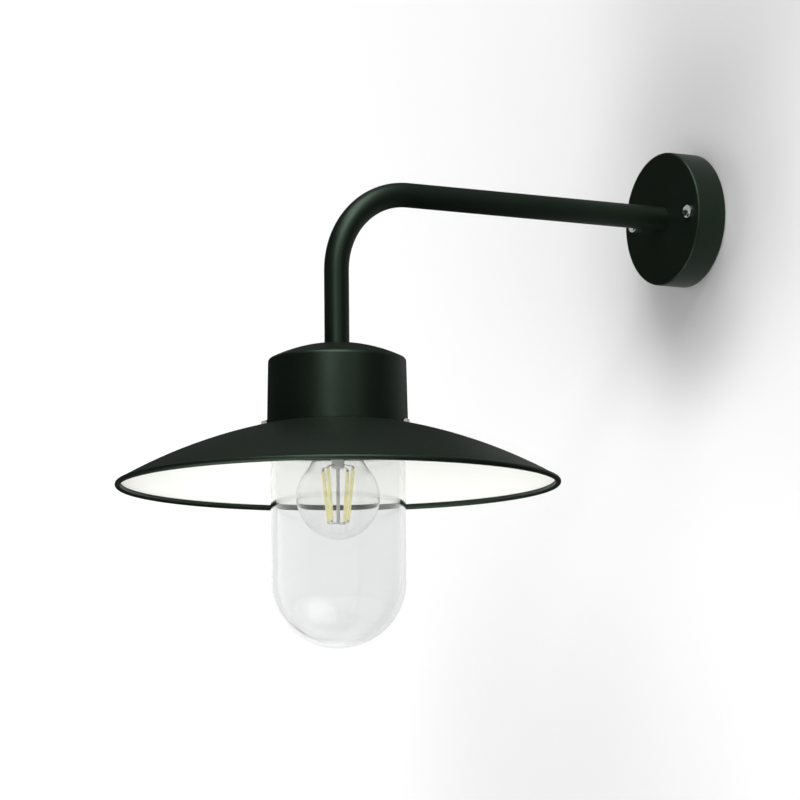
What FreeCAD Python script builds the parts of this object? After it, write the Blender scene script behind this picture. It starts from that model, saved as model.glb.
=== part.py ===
import FreeCAD, Part
import math
import os

import Sketcher

# Wall bracket light: a rose on the wall, a bent tube arm, a drum-shaped cap with its lampholder,
# a dish shade, and a clear screw-on glass jar round a filament lamp.
#
# The frame: the wall is the plane y = 0 and the light stands out towards -y, with +z up. The origin is
# the centre of the rose's back, on the arm's axis. All sizes are in millimetres.

Vector = FreeCAD.Vector
UP = Vector(0, 0, 1)
ACROSS = Vector(1, 0, 0)
INWARD = Vector(0, 1, 0)

# Driving sizes. A drop is measured down from the arm's axis. Radii are outside radii where not said.
SIZES = {
    # The arm: a round tube with a quarter bend.
    "arm_reach": 305.0,
    "arm_tube_radius": 9.0,
    "arm_tube_wall": 1.5,
    "arm_bend_radius": 60.0,
    # The rose and the two screws that hold it on the wall plate.
    "rose_radius": 50.0,
    "rose_depth": 24.0,
    "rose_wall": 1.5,
    "rose_edge_radius": 2.0,
    "rose_screw_spread": 37.0,
    "rose_screw_radius": 2.5,
    "rose_screw_head_radius": 5.0,
    "rose_screw_head_height": 3.2,
    "rose_screw_length": 15.0,
    # The wall plate, with two ears bent forward from its edge and two slots for the wall's screws.
    "plate_radius": 46.0,
    "plate_sheet": 1.5,
    "ear_width": 14.0,
    "ear_reach": 14.0,
    "ear_outer": 44.0,
    "ear_inner": 31.0,
    "slot_spread": 25.0,
    "slot_width": 5.0,
    "slot_length": 9.0,
    "cable_hole_radius": 8.0,
    "grommet_bore_radius": 4.5,
    "grommet_lip_radius": 11.0,
    "grommet_lip_height": 2.0,
    # The terminal block on the wall plate.
    "block_width": 29.0,
    "block_height": 16.0,
    "block_depth": 14.0,
    "block_drop": 16.0,
    "block_pole_pitch": 10.0,
    "block_barrel_radius": 2.1,
    "block_barrel_bore_radius": 1.4,
    "block_screw_radius": 1.5,
    "block_screw_well_radius": 1.9,
    "block_screw_length": 4.6,
    "block_screw_inset": 4.0,
    "block_chamfer": 1.5,
    "block_fixing_radius": 1.4,
    "block_fixing_head_radius": 1.9,
    "block_fixing_head_height": 1.6,
    "block_fixing_floor": 2.0,
    # The threaded nipples brazed into both ends of the tube, with their washers and nuts.
    "nipple_thread_radius": 6.5,
    "nipple_bore_radius": 4.3,
    "nipple_plug_length": 14.0,
    "nipple_spare": 1.0,
    "washer_radius": 10.4,
    "washer_thickness": 1.0,
    "nut_across_flats": 17.0,
    "nut_height": 4.0,
    # The cap: a shallow dome on a drum with a slight draft, with three posts inside.
    "cap_top_drop": 113.4,
    "cap_height": 59.2,
    "cap_seat_radius": 10.5,
    "cap_crown_radius": 110.0,
    "cap_shoulder_radius": 49.7,
    "cap_rim_radius": 50.7,
    "cap_edge_radius": 3.0,
    "cap_wall": 2.5,
    "post_circle_radius": 31.5,
    "post_radius": 4.5,
    "post_hole_radius": 2.0,
    "post_hole_depth": 14.0,
    # The strap that hangs the lampholder on the lower nipple, its nut and its earthing point.
    "strap_sheet": 1.2,
    "strap_width": 14.0,
    "strap_half_span": 13.0,
    "strap_foot": 7.5,
    "thin_nut_height": 3.0,
    # The porcelain lampholder, with its contacts and terminals.
    "holder_top_drop": 138.0,
    "holder_rim_drop": 178.0,
    "holder_rim_step": 1.5,
    "holder_waist_past_strap": 7.0,
    "holder_waist_drop": 150.0,
    "holder_edge": 1.5,
    "holder_floor": 8.5,
    "holder_mouth_radius": 14.6,
    "holder_screw_past_strap": 3.5,
    "small_screw_radius": 1.5,
    "small_screw_head_radius": 2.8,
    "small_screw_head_height": 2.0,
    "small_screw_length": 7.0,
    "contact_shell_radius": 14.0,
    "contact_shell_wall": 0.6,
    "contact_shell_top_drop": 151.0,
    "contact_shell_length": 21.0,
    "tongue_sheet": 0.5,
    "tongue_width": 5.0,
    "tongue_half_length": 8.0,
    "tongue_bend": 4.0,
    "tongue_tip": 2.0,
    "terminal_inner": 9.0,
    "terminal_length": 8.0,
    "terminal_width": 7.0,
    "terminal_height": 11.0,
    "terminal_bore_radius": 1.3,
    "terminal_bore_drop": 130.5,
    # The leads that run through the arm.
    "lead_radius": 1.1,
    "lead_entry": 3.0,
    "lead_offset": 2.4,
    "lead_turn_radius": 4.5,
    "lead_spread_turn_radius": 6.0,
    "lead_spread_drop": 8.5,
    "earth_drop": 129.6,
    "earth_turn_radius": 3.4,
    "tag_sheet": 0.8,
    "tag_ring_radius": 3.2,
    "tag_drop_below_lead": 4.7,
    "tag_barrel_wall": 0.5,
    "tag_barrel_length": 3.6,
    # The shade: one dished sheet with a flat seat, a hole in the middle and a rolled edge.
    "shade_radius": 160.0,
    "shade_rim_drop": 214.7,
    "shade_bead_radius": 2.0,
    "shade_sheet": 1.2,
    "shade_crown_radius": 372.0,
    "shade_seat_radius": 51.0,
    "shade_hole_radius": 36.6,
    "shade_screw_circle_radius": 58.0,
    "shade_screw_turn": -3.0,
    "shade_screw_radius": 1.5,
    "shade_screw_head_radius": 2.75,
    "shade_screw_head_height": 2.3,
    "shade_screw_length": 5.6,
    # The collar that carries the glass jar, its screws and the jar's seal.
    "collar_flange_radius": 64.0,
    "collar_web": 3.0,
    "collar_mouth_radius": 26.0,
    "collar_skirt_length": 13.0,
    "collar_skirt_wall": 4.6,
    "collar_screw_radius": 2.0,
    "collar_screw_head_radius": 3.8,
    "collar_screw_head_height": 2.6,
    "collar_screw_length": 12.0,
    "seal_thickness": 2.0,
    # The glass jar.
    "jar_radius": 48.5,
    "jar_wall": 3.8,
    "jar_neck_radius": 41.8,
    "jar_neck_length": 12.1,
    "jar_bottom_centre_drop": 284.5,
    # The lamp.
    "lamp_foot_drop": 149.2,
    "lamp_globe_radius": 30.0,
    "lamp_globe_below_shell": 47.0,
    "lamp_glass_wall": 0.8,
    "lamp_neck_radius": 13.6,
    "lamp_shell_radius": 12.95,
    "lamp_shell_wall": 0.5,
    "lamp_shell_length": 24.3,
    "lamp_shell_shoulder_radius": 10.6,
    "lamp_shell_shoulder_length": 2.4,
    "lamp_foot_radius": 4.6,
    "lamp_foot_height": 1.3,
    "lamp_insulator_height": 3.2,
    "stem_tube_radius": 4.8,
    "stem_press_drop": 203.8,
    "stem_tube_length": 15.0,
    "stem_rod_radius": 1.25,
    "stem_rod_drop": 243.0,
    "filament_radius": 1.4,
    "filament_top_circle_radius": 13.0,
    "filament_bottom_circle_radius": 8.3,
    "filament_turn": 27.0,
    "support_wire_radius": 0.35,
    "support_weld_gap": 0.1,
    "driver_board_height": 13.0,
    "driver_board_sheet": 1.2,
    "driver_capacitor_radius": 3.2,
    # Clearances.
    "screw_clearance": 0.2,
    "thread_clearance": 0.05,
    "fit_clearance": 0.1,
    "loose_clearance": 0.4,
    "cut_overrun": 1.0,
}

TURN = 360.0
FRONT = 270.0
POST_COUNT = 3
SHADE_SCREW_COUNT = 3
FILAMENT_COUNT = 4
SCREW_CROWN_SHARE = 0.5


class Size:
    """A size that knows its number and the expression over the sheet that gives it."""

    def __init__(self, number, text):
        self.number = number
        self.text = text

    @staticmethod
    def of(value):
        return value if isinstance(value, Size) else Size(float(value), "%.10g" % value)

    def combine(self, other, sign, number):
        return Size(number, "(%s %s %s)" % (self.text, sign, Size.of(other).text))

    def __add__(self, other):
        return self.combine(other, "+", self.number + Size.of(other).number)

    def __sub__(self, other):
        return self.combine(other, "-", self.number - Size.of(other).number)

    def __mul__(self, other):
        return self.combine(other, "*", self.number * Size.of(other).number)

    def __truediv__(self, other):
        return self.combine(other, "/", self.number / Size.of(other).number)

    def __neg__(self):
        return Size(-self.number, "(0 - %s)" % self.text)

    def root(self):
        return Size(math.sqrt(self.number), "sqrt(%s)" % self.text)

    def cosine(self):
        return Size(math.cos(math.radians(self.number)), "cos(%s)" % self.text)

    def sine(self):
        return Size(math.sin(math.radians(self.number)), "sin(%s)" % self.text)

    def arcsine(self):
        return Size(math.degrees(math.asin(self.number)), "asin(%s)" % self.text)


NONE = Size(0.0, "0")


class Sheet:
    """The spreadsheet of driving sizes: each size is read as an attribute of this object."""

    def __init__(self, document, sizes):
        self.cells = document.addObject("Spreadsheet::Sheet", "Sizes")
        for row, (name, number) in enumerate(sizes.items(), start=1):
            self.cells.set("A%d" % row, name)
            self.cells.set("B%d" % row, "%.10g" % number)
            self.cells.setAlias("B%d" % row, name)
        document.recompute()

    def __getattr__(self, name):
        return Size(float(self.cells.get(name)), "Sizes." + name)


doc = FreeCAD.newDocument("wall_bracket_light")
mm = Sheet(doc, SIZES)
parts = []


# Sketches and features

def new_body(label, y=NONE, turn=NONE):
    """A body of its own for one piece; its origin is shifted along y and turned round z."""
    body = doc.addObject("PartDesign::Body", label)
    body.Label = label
    body.Placement = FreeCAD.Placement(Vector(0, y.number, 0), FreeCAD.Rotation(UP, turn.number))
    body.setExpression("Placement.Base.y", y.text)
    if turn is not NONE:
        body.setExpression("Placement.Rotation.Angle", turn.text)
    parts.append(body)
    return body


def new_sketch(body, plane, name, z=NONE):
    """A sketch on one of the body's own planes, lifted along the plane's normal."""
    sketch = body.newObject("Sketcher::SketchObject", name)
    support = [item for item in body.Origin.OriginFeatures if item.Role == plane][0]
    sketch.AttachmentSupport = [(support, "")]
    sketch.MapMode = "FlatFace"
    sketch.AttachmentOffset = FreeCAD.Placement(Vector(0, 0, z.number), FreeCAD.Rotation())
    sketch.setExpression("AttachmentOffset.Base.z", z.text)
    return sketch


def tilted_sketch(body, name, radius, height, lean):
    """A sketch out on the body's x axis, at a height, whose normal leans outwards by an angle."""
    sketch = new_sketch(body, "XY_Plane", name)
    sketch.AttachmentOffset = FreeCAD.Placement(Vector(radius.number, 0, height.number),
                                                FreeCAD.Rotation(INWARD, lean.number))
    sketch.setExpression("AttachmentOffset.Base.x", radius.text)
    sketch.setExpression("AttachmentOffset.Base.z", height.text)
    sketch.setExpression("AttachmentOffset.Rotation.Angle", lean.text)
    return sketch


def hold(sketch, kind, places, size):
    """Add one dimension to a sketch and bind it to its size."""
    index = sketch.addConstraint(Sketcher.Constraint(kind, *places, size.number))
    sketch.setExpression("Constraints[%d]" % index, size.text)


def arc_centre(start, end, radius):
    """The centre of the short arc that runs anticlockwise from start to end, in plain numbers."""
    run = end - start
    height = math.sqrt(radius ** 2 - run.Length ** 2 / 4)
    left = Vector(-run.y, run.x, 0).normalize()
    return (start + end) / 2 + left * height


def draw_arc(sketch, start, end, radius):
    """Draw the short anticlockwise arc from start to end."""
    centre = arc_centre(start, end, radius.number)
    ray_a = start - centre
    ray_b = end - centre
    angle_a = math.atan2(ray_a.y, ray_a.x)
    angle_b = math.atan2(ray_b.y, ray_b.x)
    circle = Part.Circle(centre, UP, radius.number)
    return sketch.addGeometry(Part.ArcOfCircle(circle, angle_a, angle_b), False)


def outline(sketch, corners):
    """Draw a closed outline through corners (x, y).

    A corner (x, y, radius) starts an arc to the next corner instead of a line: anticlockwise where the
    radius comes alone, clockwise where it is followed by True.
    """
    edges = []
    for index, corner in enumerate(corners):
        after = corners[(index + 1) % len(corners)]
        start = Vector(corner[0].number, corner[1].number, 0)
        end = Vector(after[0].number, after[1].number, 0)
        if len(corner) == 2:
            edges.append((sketch.addGeometry(Part.LineSegment(start, end), False), 1, 2))
        elif len(corner) == 3:
            edges.append((draw_arc(sketch, start, end, corner[2]), 1, 2))
        else:
            edges.append((draw_arc(sketch, end, start, corner[2]), 2, 1))
    for index, (edge, first, last) in enumerate(edges):
        after, after_first, _ = edges[(index + 1) % len(edges)]
        sketch.addConstraint(Sketcher.Constraint("Coincident", edge, last, after, after_first))
    for corner, (edge, first, last) in zip(corners, edges):
        hold(sketch, "DistanceX", (-1, 1, edge, first), corner[0])
        hold(sketch, "DistanceY", (-1, 1, edge, first), corner[1])
        if len(corner) > 2:
            hold(sketch, "Radius", (edge,), corner[2])


def ring(sketch, x, y, *radii):
    """Draw one circle for each radius, all round the same centre."""
    for radius in radii:
        centre = Vector(x.number, y.number, 0)
        edge = sketch.addGeometry(Part.Circle(centre, UP, radius.number), False)
        hold(sketch, "DistanceX", (-1, 1, edge, 3), x)
        hold(sketch, "DistanceY", (-1, 1, edge, 3), y)
        hold(sketch, "Radius", (edge,), radius)


def finish_feature(body, feature, grows):
    """Make a feature the body's tip and check that it really added or took away material."""
    before = 0.0 if body.Shape.isNull() else body.Shape.Volume
    body.Tip = feature
    doc.recompute()
    gained = feature.Shape.Volume - before
    if (gained > 0) != grows or gained == 0:
        raise RuntimeError("%s changes %s the wrong way: %g" % (feature.Name, body.Label, gained))
    return feature


def revolve(body, sketch, name="Turning"):
    """Turn a sketch once round its own vertical axis."""
    feature = body.newObject("PartDesign::Revolution", name)
    feature.Profile = sketch
    feature.ReferenceAxis = (sketch, ["V_Axis"])
    feature.Angle = TURN
    return finish_feature(body, feature, True)


def pad(body, sketch, length, both_ways=False, backwards=False, up_to_first=False, name="Pad"):
    """Pad a sketch by a length, or as far as the first face that it meets."""
    feature = body.newObject("PartDesign::Pad", name)
    feature.Profile = sketch
    feature.Length = length.number
    feature.setExpression("Length", length.text)
    if up_to_first:
        feature.Type = "UpToFirst"
    feature.SideType = "Symmetric" if both_ways else "One side"
    feature.Reversed = backwards
    return finish_feature(body, feature, True)


def pocket(body, sketch, length=None, backwards=False, both_ways=False, name="Pocket"):
    """Cut a sketch out, to a length or right through."""
    feature = body.newObject("PartDesign::Pocket", name)
    feature.Profile = sketch
    if length is None:
        feature.Type = "ThroughAll"
    else:
        feature.Length = length.number
        feature.setExpression("Length", length.text)
    feature.SideType = "Symmetric" if both_ways else "One side"
    feature.Reversed = backwards
    return finish_feature(body, feature, False)


def polar(body, features, count, role, grows, name="Ring"):
    """Repeat features evenly round one axis of the body."""
    feature = body.newObject("PartDesign::PolarPattern", name)
    feature.Originals = features
    axis = [item for item in body.Origin.OriginFeatures if item.Role == role][0]
    feature.Axis = (axis, [""])
    feature.Angle = TURN
    feature.Occurrences = count
    return finish_feature(body, feature, grows)


def mirrored(body, features, role, grows, name="Mirror"):
    """Repeat features on the other side of one plane of the body."""
    feature = body.newObject("PartDesign::Mirrored", name)
    feature.Originals = features
    plane = [item for item in body.Origin.OriginFeatures if item.Role == role][0]
    feature.MirrorPlane = (plane, [""])
    return finish_feature(body, feature, grows)


def round_edges(body, radius, chosen, name="Rounding"):
    """Round the edges of the body's tip that the test picks."""
    base = body.Tip
    names = ["Edge%d" % (i + 1) for i, edge in enumerate(base.Shape.Edges) if chosen(edge)]
    feature = body.newObject("PartDesign::Fillet", name)
    feature.Base = (base, names)
    feature.Radius = radius.number
    feature.setExpression("Radius", radius.text)
    return finish_feature(body, feature, False)


# Pieces made of several equal solids, and bent leads

def group(label, solids, place=None):
    """A piece, or a set of equal fasteners, whose shape is put together from solids."""
    piece = doc.addObject("Part::Feature", label)
    piece.Label = label
    piece.Shape = solids[0] if len(solids) == 1 else Part.makeCompound(solids)
    if place:
        piece.Placement = place
    parts.append(piece)
    return piece


def turned(corners):
    """A solid turned round the z axis from corners (radius, height) in plain numbers."""
    points = [Vector(x, 0, z) for x, z in corners]
    wire = Part.makePolygon(points + [points[0]])
    return Part.Face(wire).revolve(Vector(), UP, TURN)


def pan_screw(head_radius, head_height, shank_radius, length):
    """A screw with a pan head: the head stands up from z = 0 and the shank hangs down."""
    crown = head_height * SCREW_CROWN_SHARE
    flat = head_radius * SCREW_CROWN_SHARE
    slant = math.radians(TURN / 8)
    rim = Vector(head_radius, 0, head_height - crown)
    high = Vector(flat + (head_radius - flat) * math.cos(slant), 0, rim.z + crown * math.sin(slant))
    top = Vector(flat, 0, head_height)
    lines = [
        Part.makeLine(Vector(0, 0, -length), Vector(shank_radius, 0, -length)),
        Part.makeLine(Vector(shank_radius, 0, -length), Vector(shank_radius, 0, 0)),
        Part.makeLine(Vector(shank_radius, 0, 0), Vector(head_radius, 0, 0)),
        Part.makeLine(Vector(head_radius, 0, 0), rim),
        Part.Arc(rim, high, top).toShape(),
        Part.makeLine(top, Vector(0, 0, head_height)),
        Part.makeLine(Vector(0, 0, head_height), Vector(0, 0, -length)),
    ]
    return Part.Face(Part.Wire(lines)).revolve(Vector(), UP, TURN)


def hex_nut(across_flats, height, bore_radius):
    """A hexagon nut that stands up from z = 0."""
    corner = across_flats / math.sqrt(3)
    sixths = [math.radians(TURN / 6 * i) for i in range(7)]
    rim = Part.makePolygon([Vector(corner * math.cos(a), corner * math.sin(a), 0) for a in sixths])
    return Part.Face(rim).extrude(UP * height).cut(Part.makeCylinder(bore_radius, height))


def flat_washer(outer_radius, bore_radius, thickness):
    """A flat washer that stands up from z = 0."""
    return Part.makeCylinder(outer_radius, thickness).cut(Part.makeCylinder(bore_radius, thickness))


def aimed(solid, place, direction):
    """A copy of a solid whose z axis points along a direction, moved to a place."""
    moved = solid.copy()
    moved.Placement = FreeCAD.Placement(place, FreeCAD.Rotation(UP, direction))
    return moved


def bent_wire(points, radii):
    """Straight runs through the points, joined by tangent arcs of the given radii at the inner points."""
    edges = []
    last = points[0]
    for before, corner, after, radius in zip(points, points[1:], points[2:], radii):
        into = (corner - before).normalize()
        out = (after - corner).normalize()
        turn = into.getAngle(out)
        reach = radius * math.tan(turn / 2)
        begin = corner - into * reach
        end = corner + out * reach
        middle_ray = (out - into).normalize()
        middle = corner + middle_ray * (radius / math.cos(turn / 2) - radius)
        edges.append(Part.LineSegment(last, begin).toShape())
        edges.append(Part.Arc(begin, middle, end).toShape())
        last = end
    edges.append(Part.LineSegment(last, points[-1]).toShape())
    return Part.Wire(edges)


def lead(label, points, radii):
    """A round insulated lead along straight runs and tangent arcs."""
    path = bent_wire(points, radii)
    start = points[0]
    along = (points[1] - points[0]).normalize()
    section = Part.Wire(Part.makeCircle(mm.lead_radius.number, start, along))
    solid = path.makePipeShell([section], True, False)
    expected = math.pi * mm.lead_radius.number ** 2 * path.Length
    print(label, "length", round(path.Length, 1), "volume ratio", round(solid.Volume / expected, 4))
    return group(label, [solid])


# Heights that several pieces share, as coordinates along z

shade_seat = -(mm.cap_top_drop + mm.cap_height)
shade_under = shade_seat - mm.shade_sheet
web_under = shade_under - mm.collar_web
jar_neck_top = web_under - mm.seal_thickness
cap_roof_under = -(mm.cap_top_drop + mm.cap_wall)
lamp_nut_under = cap_roof_under - mm.washer_thickness - mm.nut_height
strap_under = lamp_nut_under - mm.strap_sheet
strap_foot_end = mm.strap_half_span + mm.strap_foot
lower_nipple_end = strap_under - mm.thin_nut_height - mm.nipple_spare
holder_top = -mm.holder_top_drop
holder_screw_spread = mm.strap_half_span + mm.holder_screw_past_strap
holder_waist_radius = mm.strap_half_span + mm.holder_waist_past_strap
holder_radius = holder_waist_radius + mm.holder_rim_step
rose_face_inside = -(mm.rose_depth - mm.rose_wall)
upper_nipple_length = mm.rose_wall + mm.washer_thickness + mm.nut_height + mm.nipple_spare
lamp_y = -mm.arm_reach

# The shade's outer surface is one arc, from the edge of its flat seat to the top of its rolled edge.
bead_x = mm.shade_radius - mm.shade_bead_radius
bead_top = mm.shade_bead_radius - mm.shade_rim_drop
dish_run = bead_x - mm.shade_seat_radius
dish_fall = bead_top - shade_seat
dish_chord = (dish_run * dish_run + dish_fall * dish_fall).root()
dish_height = (mm.shade_crown_radius * mm.shade_crown_radius - dish_chord * dish_chord / 4).root()
dish_centre_x = (bead_x + mm.shade_seat_radius) / 2 + dish_fall * dish_height / dish_chord
dish_centre_z = (bead_top + shade_seat) / 2 - dish_run * dish_height / dish_chord
dish_under_radius = mm.shade_crown_radius - mm.shade_sheet
dish_under_rise = shade_under - dish_centre_z
dish_under_run = (dish_under_radius * dish_under_radius - dish_under_rise * dish_under_rise).root()
seat_under_x = dish_centre_x + dish_under_run
shade_turn = mm.shade_screw_turn + FRONT


def dish_height_at(radius, depth=NONE):
    """The height of the dish at a radius, on its outer surface or a depth below it."""
    arc = mm.shade_crown_radius - depth
    across = radius - dish_centre_x
    return dish_centre_z + (arc * arc - across * across).root()


# The wall side

def make_wall_plate():
    body = new_body("wall_plate")
    disc = new_sketch(body, "XZ_Plane", "Disc")
    ring(disc, NONE, NONE, mm.plate_radius, mm.cable_hole_radius)
    pad(body, disc, mm.plate_sheet, name="Plate")
    ear = new_sketch(body, "XY_Plane", "EarProfile")
    back = -mm.plate_sheet
    tip = -mm.ear_reach
    outline(ear, [
        (mm.ear_outer - mm.plate_sheet, back),
        (mm.ear_outer - mm.plate_sheet, tip + mm.plate_sheet),
        (mm.ear_inner, tip + mm.plate_sheet),
        (mm.ear_inner, tip),
        (mm.ear_outer, tip),
        (mm.ear_outer, back),
    ])
    ear_pad = pad(body, ear, mm.ear_width, both_ways=True, name="Ear")
    mirrored(body, [ear_pad], "YZ_Plane", True, name="Ears")
    holes = new_sketch(body, "XZ_Plane", "ScrewHoles")
    tapped = mm.rose_screw_radius + mm.thread_clearance
    ring(holes, mm.rose_screw_spread, NONE, tapped)
    ring(holes, -mm.rose_screw_spread, NONE, tapped)
    pocket(body, holes, backwards=True, name="EarHoles")
    slot = new_sketch(body, "XZ_Plane", "SlotOutline")
    half = mm.slot_width / 2
    run = (mm.slot_length - mm.slot_width) / 2
    for centre in (mm.slot_spread, -mm.slot_spread):
        slot_ends(slot, centre, run, half)
    pocket(body, slot, backwards=True, name="Slots")
    fixing = new_sketch(body, "XZ_Plane", "BlockHoles")
    for side in (-mm.block_pole_pitch / 2, mm.block_pole_pitch / 2):
        ring(fixing, side, block_middle(), mm.block_fixing_radius + mm.thread_clearance)
    pocket(body, fixing, backwards=True, name="BlockScrewHoles")


def slot_ends(sketch, centre, run, half):
    """One slot lying along x: two straight sides and, at each end, two quarter arcs."""
    outline(sketch, [
        (centre - run, -half),
        (centre + run, -half, half),
        (centre + run + half, NONE, half),
        (centre + run, half),
        (centre - run, half, half),
        (centre - run - half, NONE, half),
    ])


def block_middle():
    """The height of the middle of the terminal block."""
    return -(mm.block_drop + mm.block_height / 2)


def make_grommet():
    body = new_body("cable_grommet")
    profile = new_sketch(body, "XY_Plane", "Profile")
    neck = mm.cable_hole_radius - mm.fit_clearance
    front = -(mm.plate_sheet + mm.grommet_lip_height)
    outline(profile, [
        (mm.grommet_bore_radius, NONE),
        (neck, NONE),
        (neck, -mm.plate_sheet),
        (mm.grommet_lip_radius, -mm.plate_sheet),
        (mm.grommet_lip_radius, front + mm.grommet_lip_height / 2),
        (mm.grommet_lip_radius - mm.grommet_lip_height / 2, front),
        (mm.grommet_bore_radius, front),
    ])
    revolve(body, profile)


def make_rose():
    body = new_body("rose")
    profile = new_sketch(body, "XY_Plane", "Profile")
    inner = mm.rose_radius - mm.rose_wall
    bend = mm.rose_radius - mm.rose_edge_radius
    face = -mm.rose_depth
    inside = face + mm.rose_wall
    hole = mm.nipple_thread_radius + mm.screw_clearance
    start = face + mm.rose_edge_radius
    outline(profile, [
        (inner, NONE),
        (inner, start, mm.rose_edge_radius - mm.rose_wall, True),
        (bend, inside),
        (hole, inside),
        (hole, face),
        (bend, face, mm.rose_edge_radius),
        (mm.rose_radius, start),
        (mm.rose_radius, NONE),
    ])
    revolve(body, profile)
    holes = new_sketch(body, "XZ_Plane", "ScrewHoles")
    ring(holes, mm.rose_screw_spread, NONE, mm.rose_screw_radius + mm.screw_clearance)
    ring(holes, -mm.rose_screw_spread, NONE, mm.rose_screw_radius + mm.screw_clearance)
    pocket(body, holes, backwards=True, name="ScrewHolesCut")


def make_rose_screws():
    screw = pan_screw(mm.rose_screw_head_radius.number, mm.rose_screw_head_height.number,
                      mm.rose_screw_radius.number, mm.rose_screw_length.number)
    spread = mm.rose_screw_spread.number
    places = [Vector(side, -mm.rose_depth.number, 0) for side in (-spread, spread)]
    group("rose_screws", [aimed(screw, place, -INWARD) for place in places])


def make_terminal_block():
    body = new_body("terminal_block")
    half = mm.block_width / 2
    back = -mm.plate_sheet
    front = back - mm.block_depth
    profile = new_sketch(body, "XY_Plane", "Profile", -(mm.block_drop + mm.block_height))
    outline(profile, [
        (-half, back),
        (-half, front + mm.block_chamfer),
        (mm.block_chamfer - half, front),
        (half - mm.block_chamfer, front),
        (half, front + mm.block_chamfer),
        (half, back),
    ])
    pad(body, profile, mm.block_height, name="Housing")
    bores = new_sketch(body, "XY_Plane", "BarrelHoles", -(mm.block_drop + mm.block_height))
    for pole in (-mm.block_pole_pitch, NONE, mm.block_pole_pitch):
        ring(bores, pole, barrel_depth(), mm.block_barrel_radius + mm.thread_clearance)
    pocket(body, bores, mm.block_height, backwards=True, name="BarrelBores")
    wells = new_sketch(body, "XZ_Plane", "ScrewWells", -front)
    for pole in (-mm.block_pole_pitch, NONE, mm.block_pole_pitch):
        for row in clamp_rows():
            ring(wells, pole, row, mm.block_screw_well_radius)
    pocket(body, wells, -front + barrel_depth(), name="ScrewWellsCut")
    fixings = new_sketch(body, "XZ_Plane", "FixingHoles", -front)
    for side in (-mm.block_pole_pitch / 2, mm.block_pole_pitch / 2):
        ring(fixings, side, block_middle(), mm.block_fixing_head_radius + mm.screw_clearance)
    pocket(body, fixings, mm.block_depth - mm.block_fixing_floor, name="FixingWells")
    through = new_sketch(body, "XZ_Plane", "FixingThrough")
    for side in (-mm.block_pole_pitch / 2, mm.block_pole_pitch / 2):
        ring(through, side, block_middle(), mm.block_fixing_radius + mm.screw_clearance)
    pocket(body, through, backwards=True, name="FixingBores")


def barrel_depth():
    """How far the barrels of the terminal block lie in front of the wall, as a coordinate along y."""
    return -(mm.plate_sheet + mm.block_depth / 2)


def clamp_rows():
    """The heights of the two rows of clamp screws in the terminal block."""
    top = -(mm.block_drop + mm.block_screw_inset)
    bottom = -(mm.block_drop + mm.block_height - mm.block_screw_inset)
    return (top, bottom)


def make_terminal_fittings():
    outer = mm.block_barrel_radius.number
    tall = mm.block_height.number
    tube = Part.makeCylinder(outer, tall).cut(Part.makeCylinder(mm.block_barrel_bore_radius.number, tall))
    bottom = -(mm.block_drop + mm.block_height).number
    pitch = mm.block_pole_pitch.number
    poles = (-pitch, 0, pitch)
    depth = barrel_depth().number
    group("terminal_barrels", [aimed(tube, Vector(pole, depth, bottom), UP) for pole in poles])
    seat = depth - outer - mm.thread_clearance.number
    clamp = Part.makeCylinder(mm.block_screw_radius.number, mm.block_screw_length.number)
    places = [Vector(pole, seat, row.number) for pole in poles for row in clamp_rows()]
    group("terminal_clamp_screws", [aimed(clamp, place, -INWARD) for place in places])
    screw = pan_screw(mm.block_fixing_head_radius.number, mm.block_fixing_head_height.number,
                      mm.block_fixing_radius.number, (mm.block_fixing_floor + mm.plate_sheet).number)
    head = -(mm.plate_sheet + mm.block_fixing_floor).number
    places = [Vector(side, head, block_middle().number) for side in (-pitch / 2, pitch / 2)]
    group("block_screws", [aimed(screw, place, -INWARD) for place in places])


# The arm and what holds it at both ends

def make_arm_tube():
    body = new_body("arm_tube", -mm.rose_depth)
    straight = mm.arm_reach - mm.arm_bend_radius - mm.rose_depth
    path = new_sketch(body, "YZ_Plane", "Centreline")
    bend = mm.arm_bend_radius
    start = Vector(0, 0, 0)
    bend_start = Vector(-straight.number, 0, 0)
    bend_end = Vector(-(straight + bend).number, -bend.number, 0)
    end = Vector(-(straight + bend).number, -mm.cap_top_drop.number, 0)
    first = path.addGeometry(Part.LineSegment(start, bend_start), False)
    arc = draw_arc(path, bend_start, bend_end, bend)
    last = path.addGeometry(Part.LineSegment(bend_end, end), False)
    path.addConstraint(Sketcher.Constraint("Coincident", first, 1, -1, 1))
    path.addConstraint(Sketcher.Constraint("Coincident", first, 2, arc, 1))
    path.addConstraint(Sketcher.Constraint("Coincident", arc, 2, last, 1))
    hold(path, "DistanceX", (-1, 1, first, 2), -straight)
    hold(path, "DistanceY", (-1, 1, first, 2), NONE)
    hold(path, "Radius", (arc,), bend)
    hold(path, "DistanceX", (-1, 1, last, 1), -(straight + bend))
    hold(path, "DistanceY", (-1, 1, last, 1), -bend)
    hold(path, "DistanceX", (-1, 1, last, 2), -(straight + bend))
    hold(path, "DistanceY", (-1, 1, last, 2), -mm.cap_top_drop)
    section = new_sketch(body, "XZ_Plane", "Section")
    ring(section, NONE, NONE, mm.arm_tube_radius, mm.arm_tube_radius - mm.arm_tube_wall)
    pipe = body.newObject("PartDesign::AdditivePipe", "Tube")
    pipe.Profile = section
    pipe.Spine = path
    finish_feature(body, pipe, True)


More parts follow.
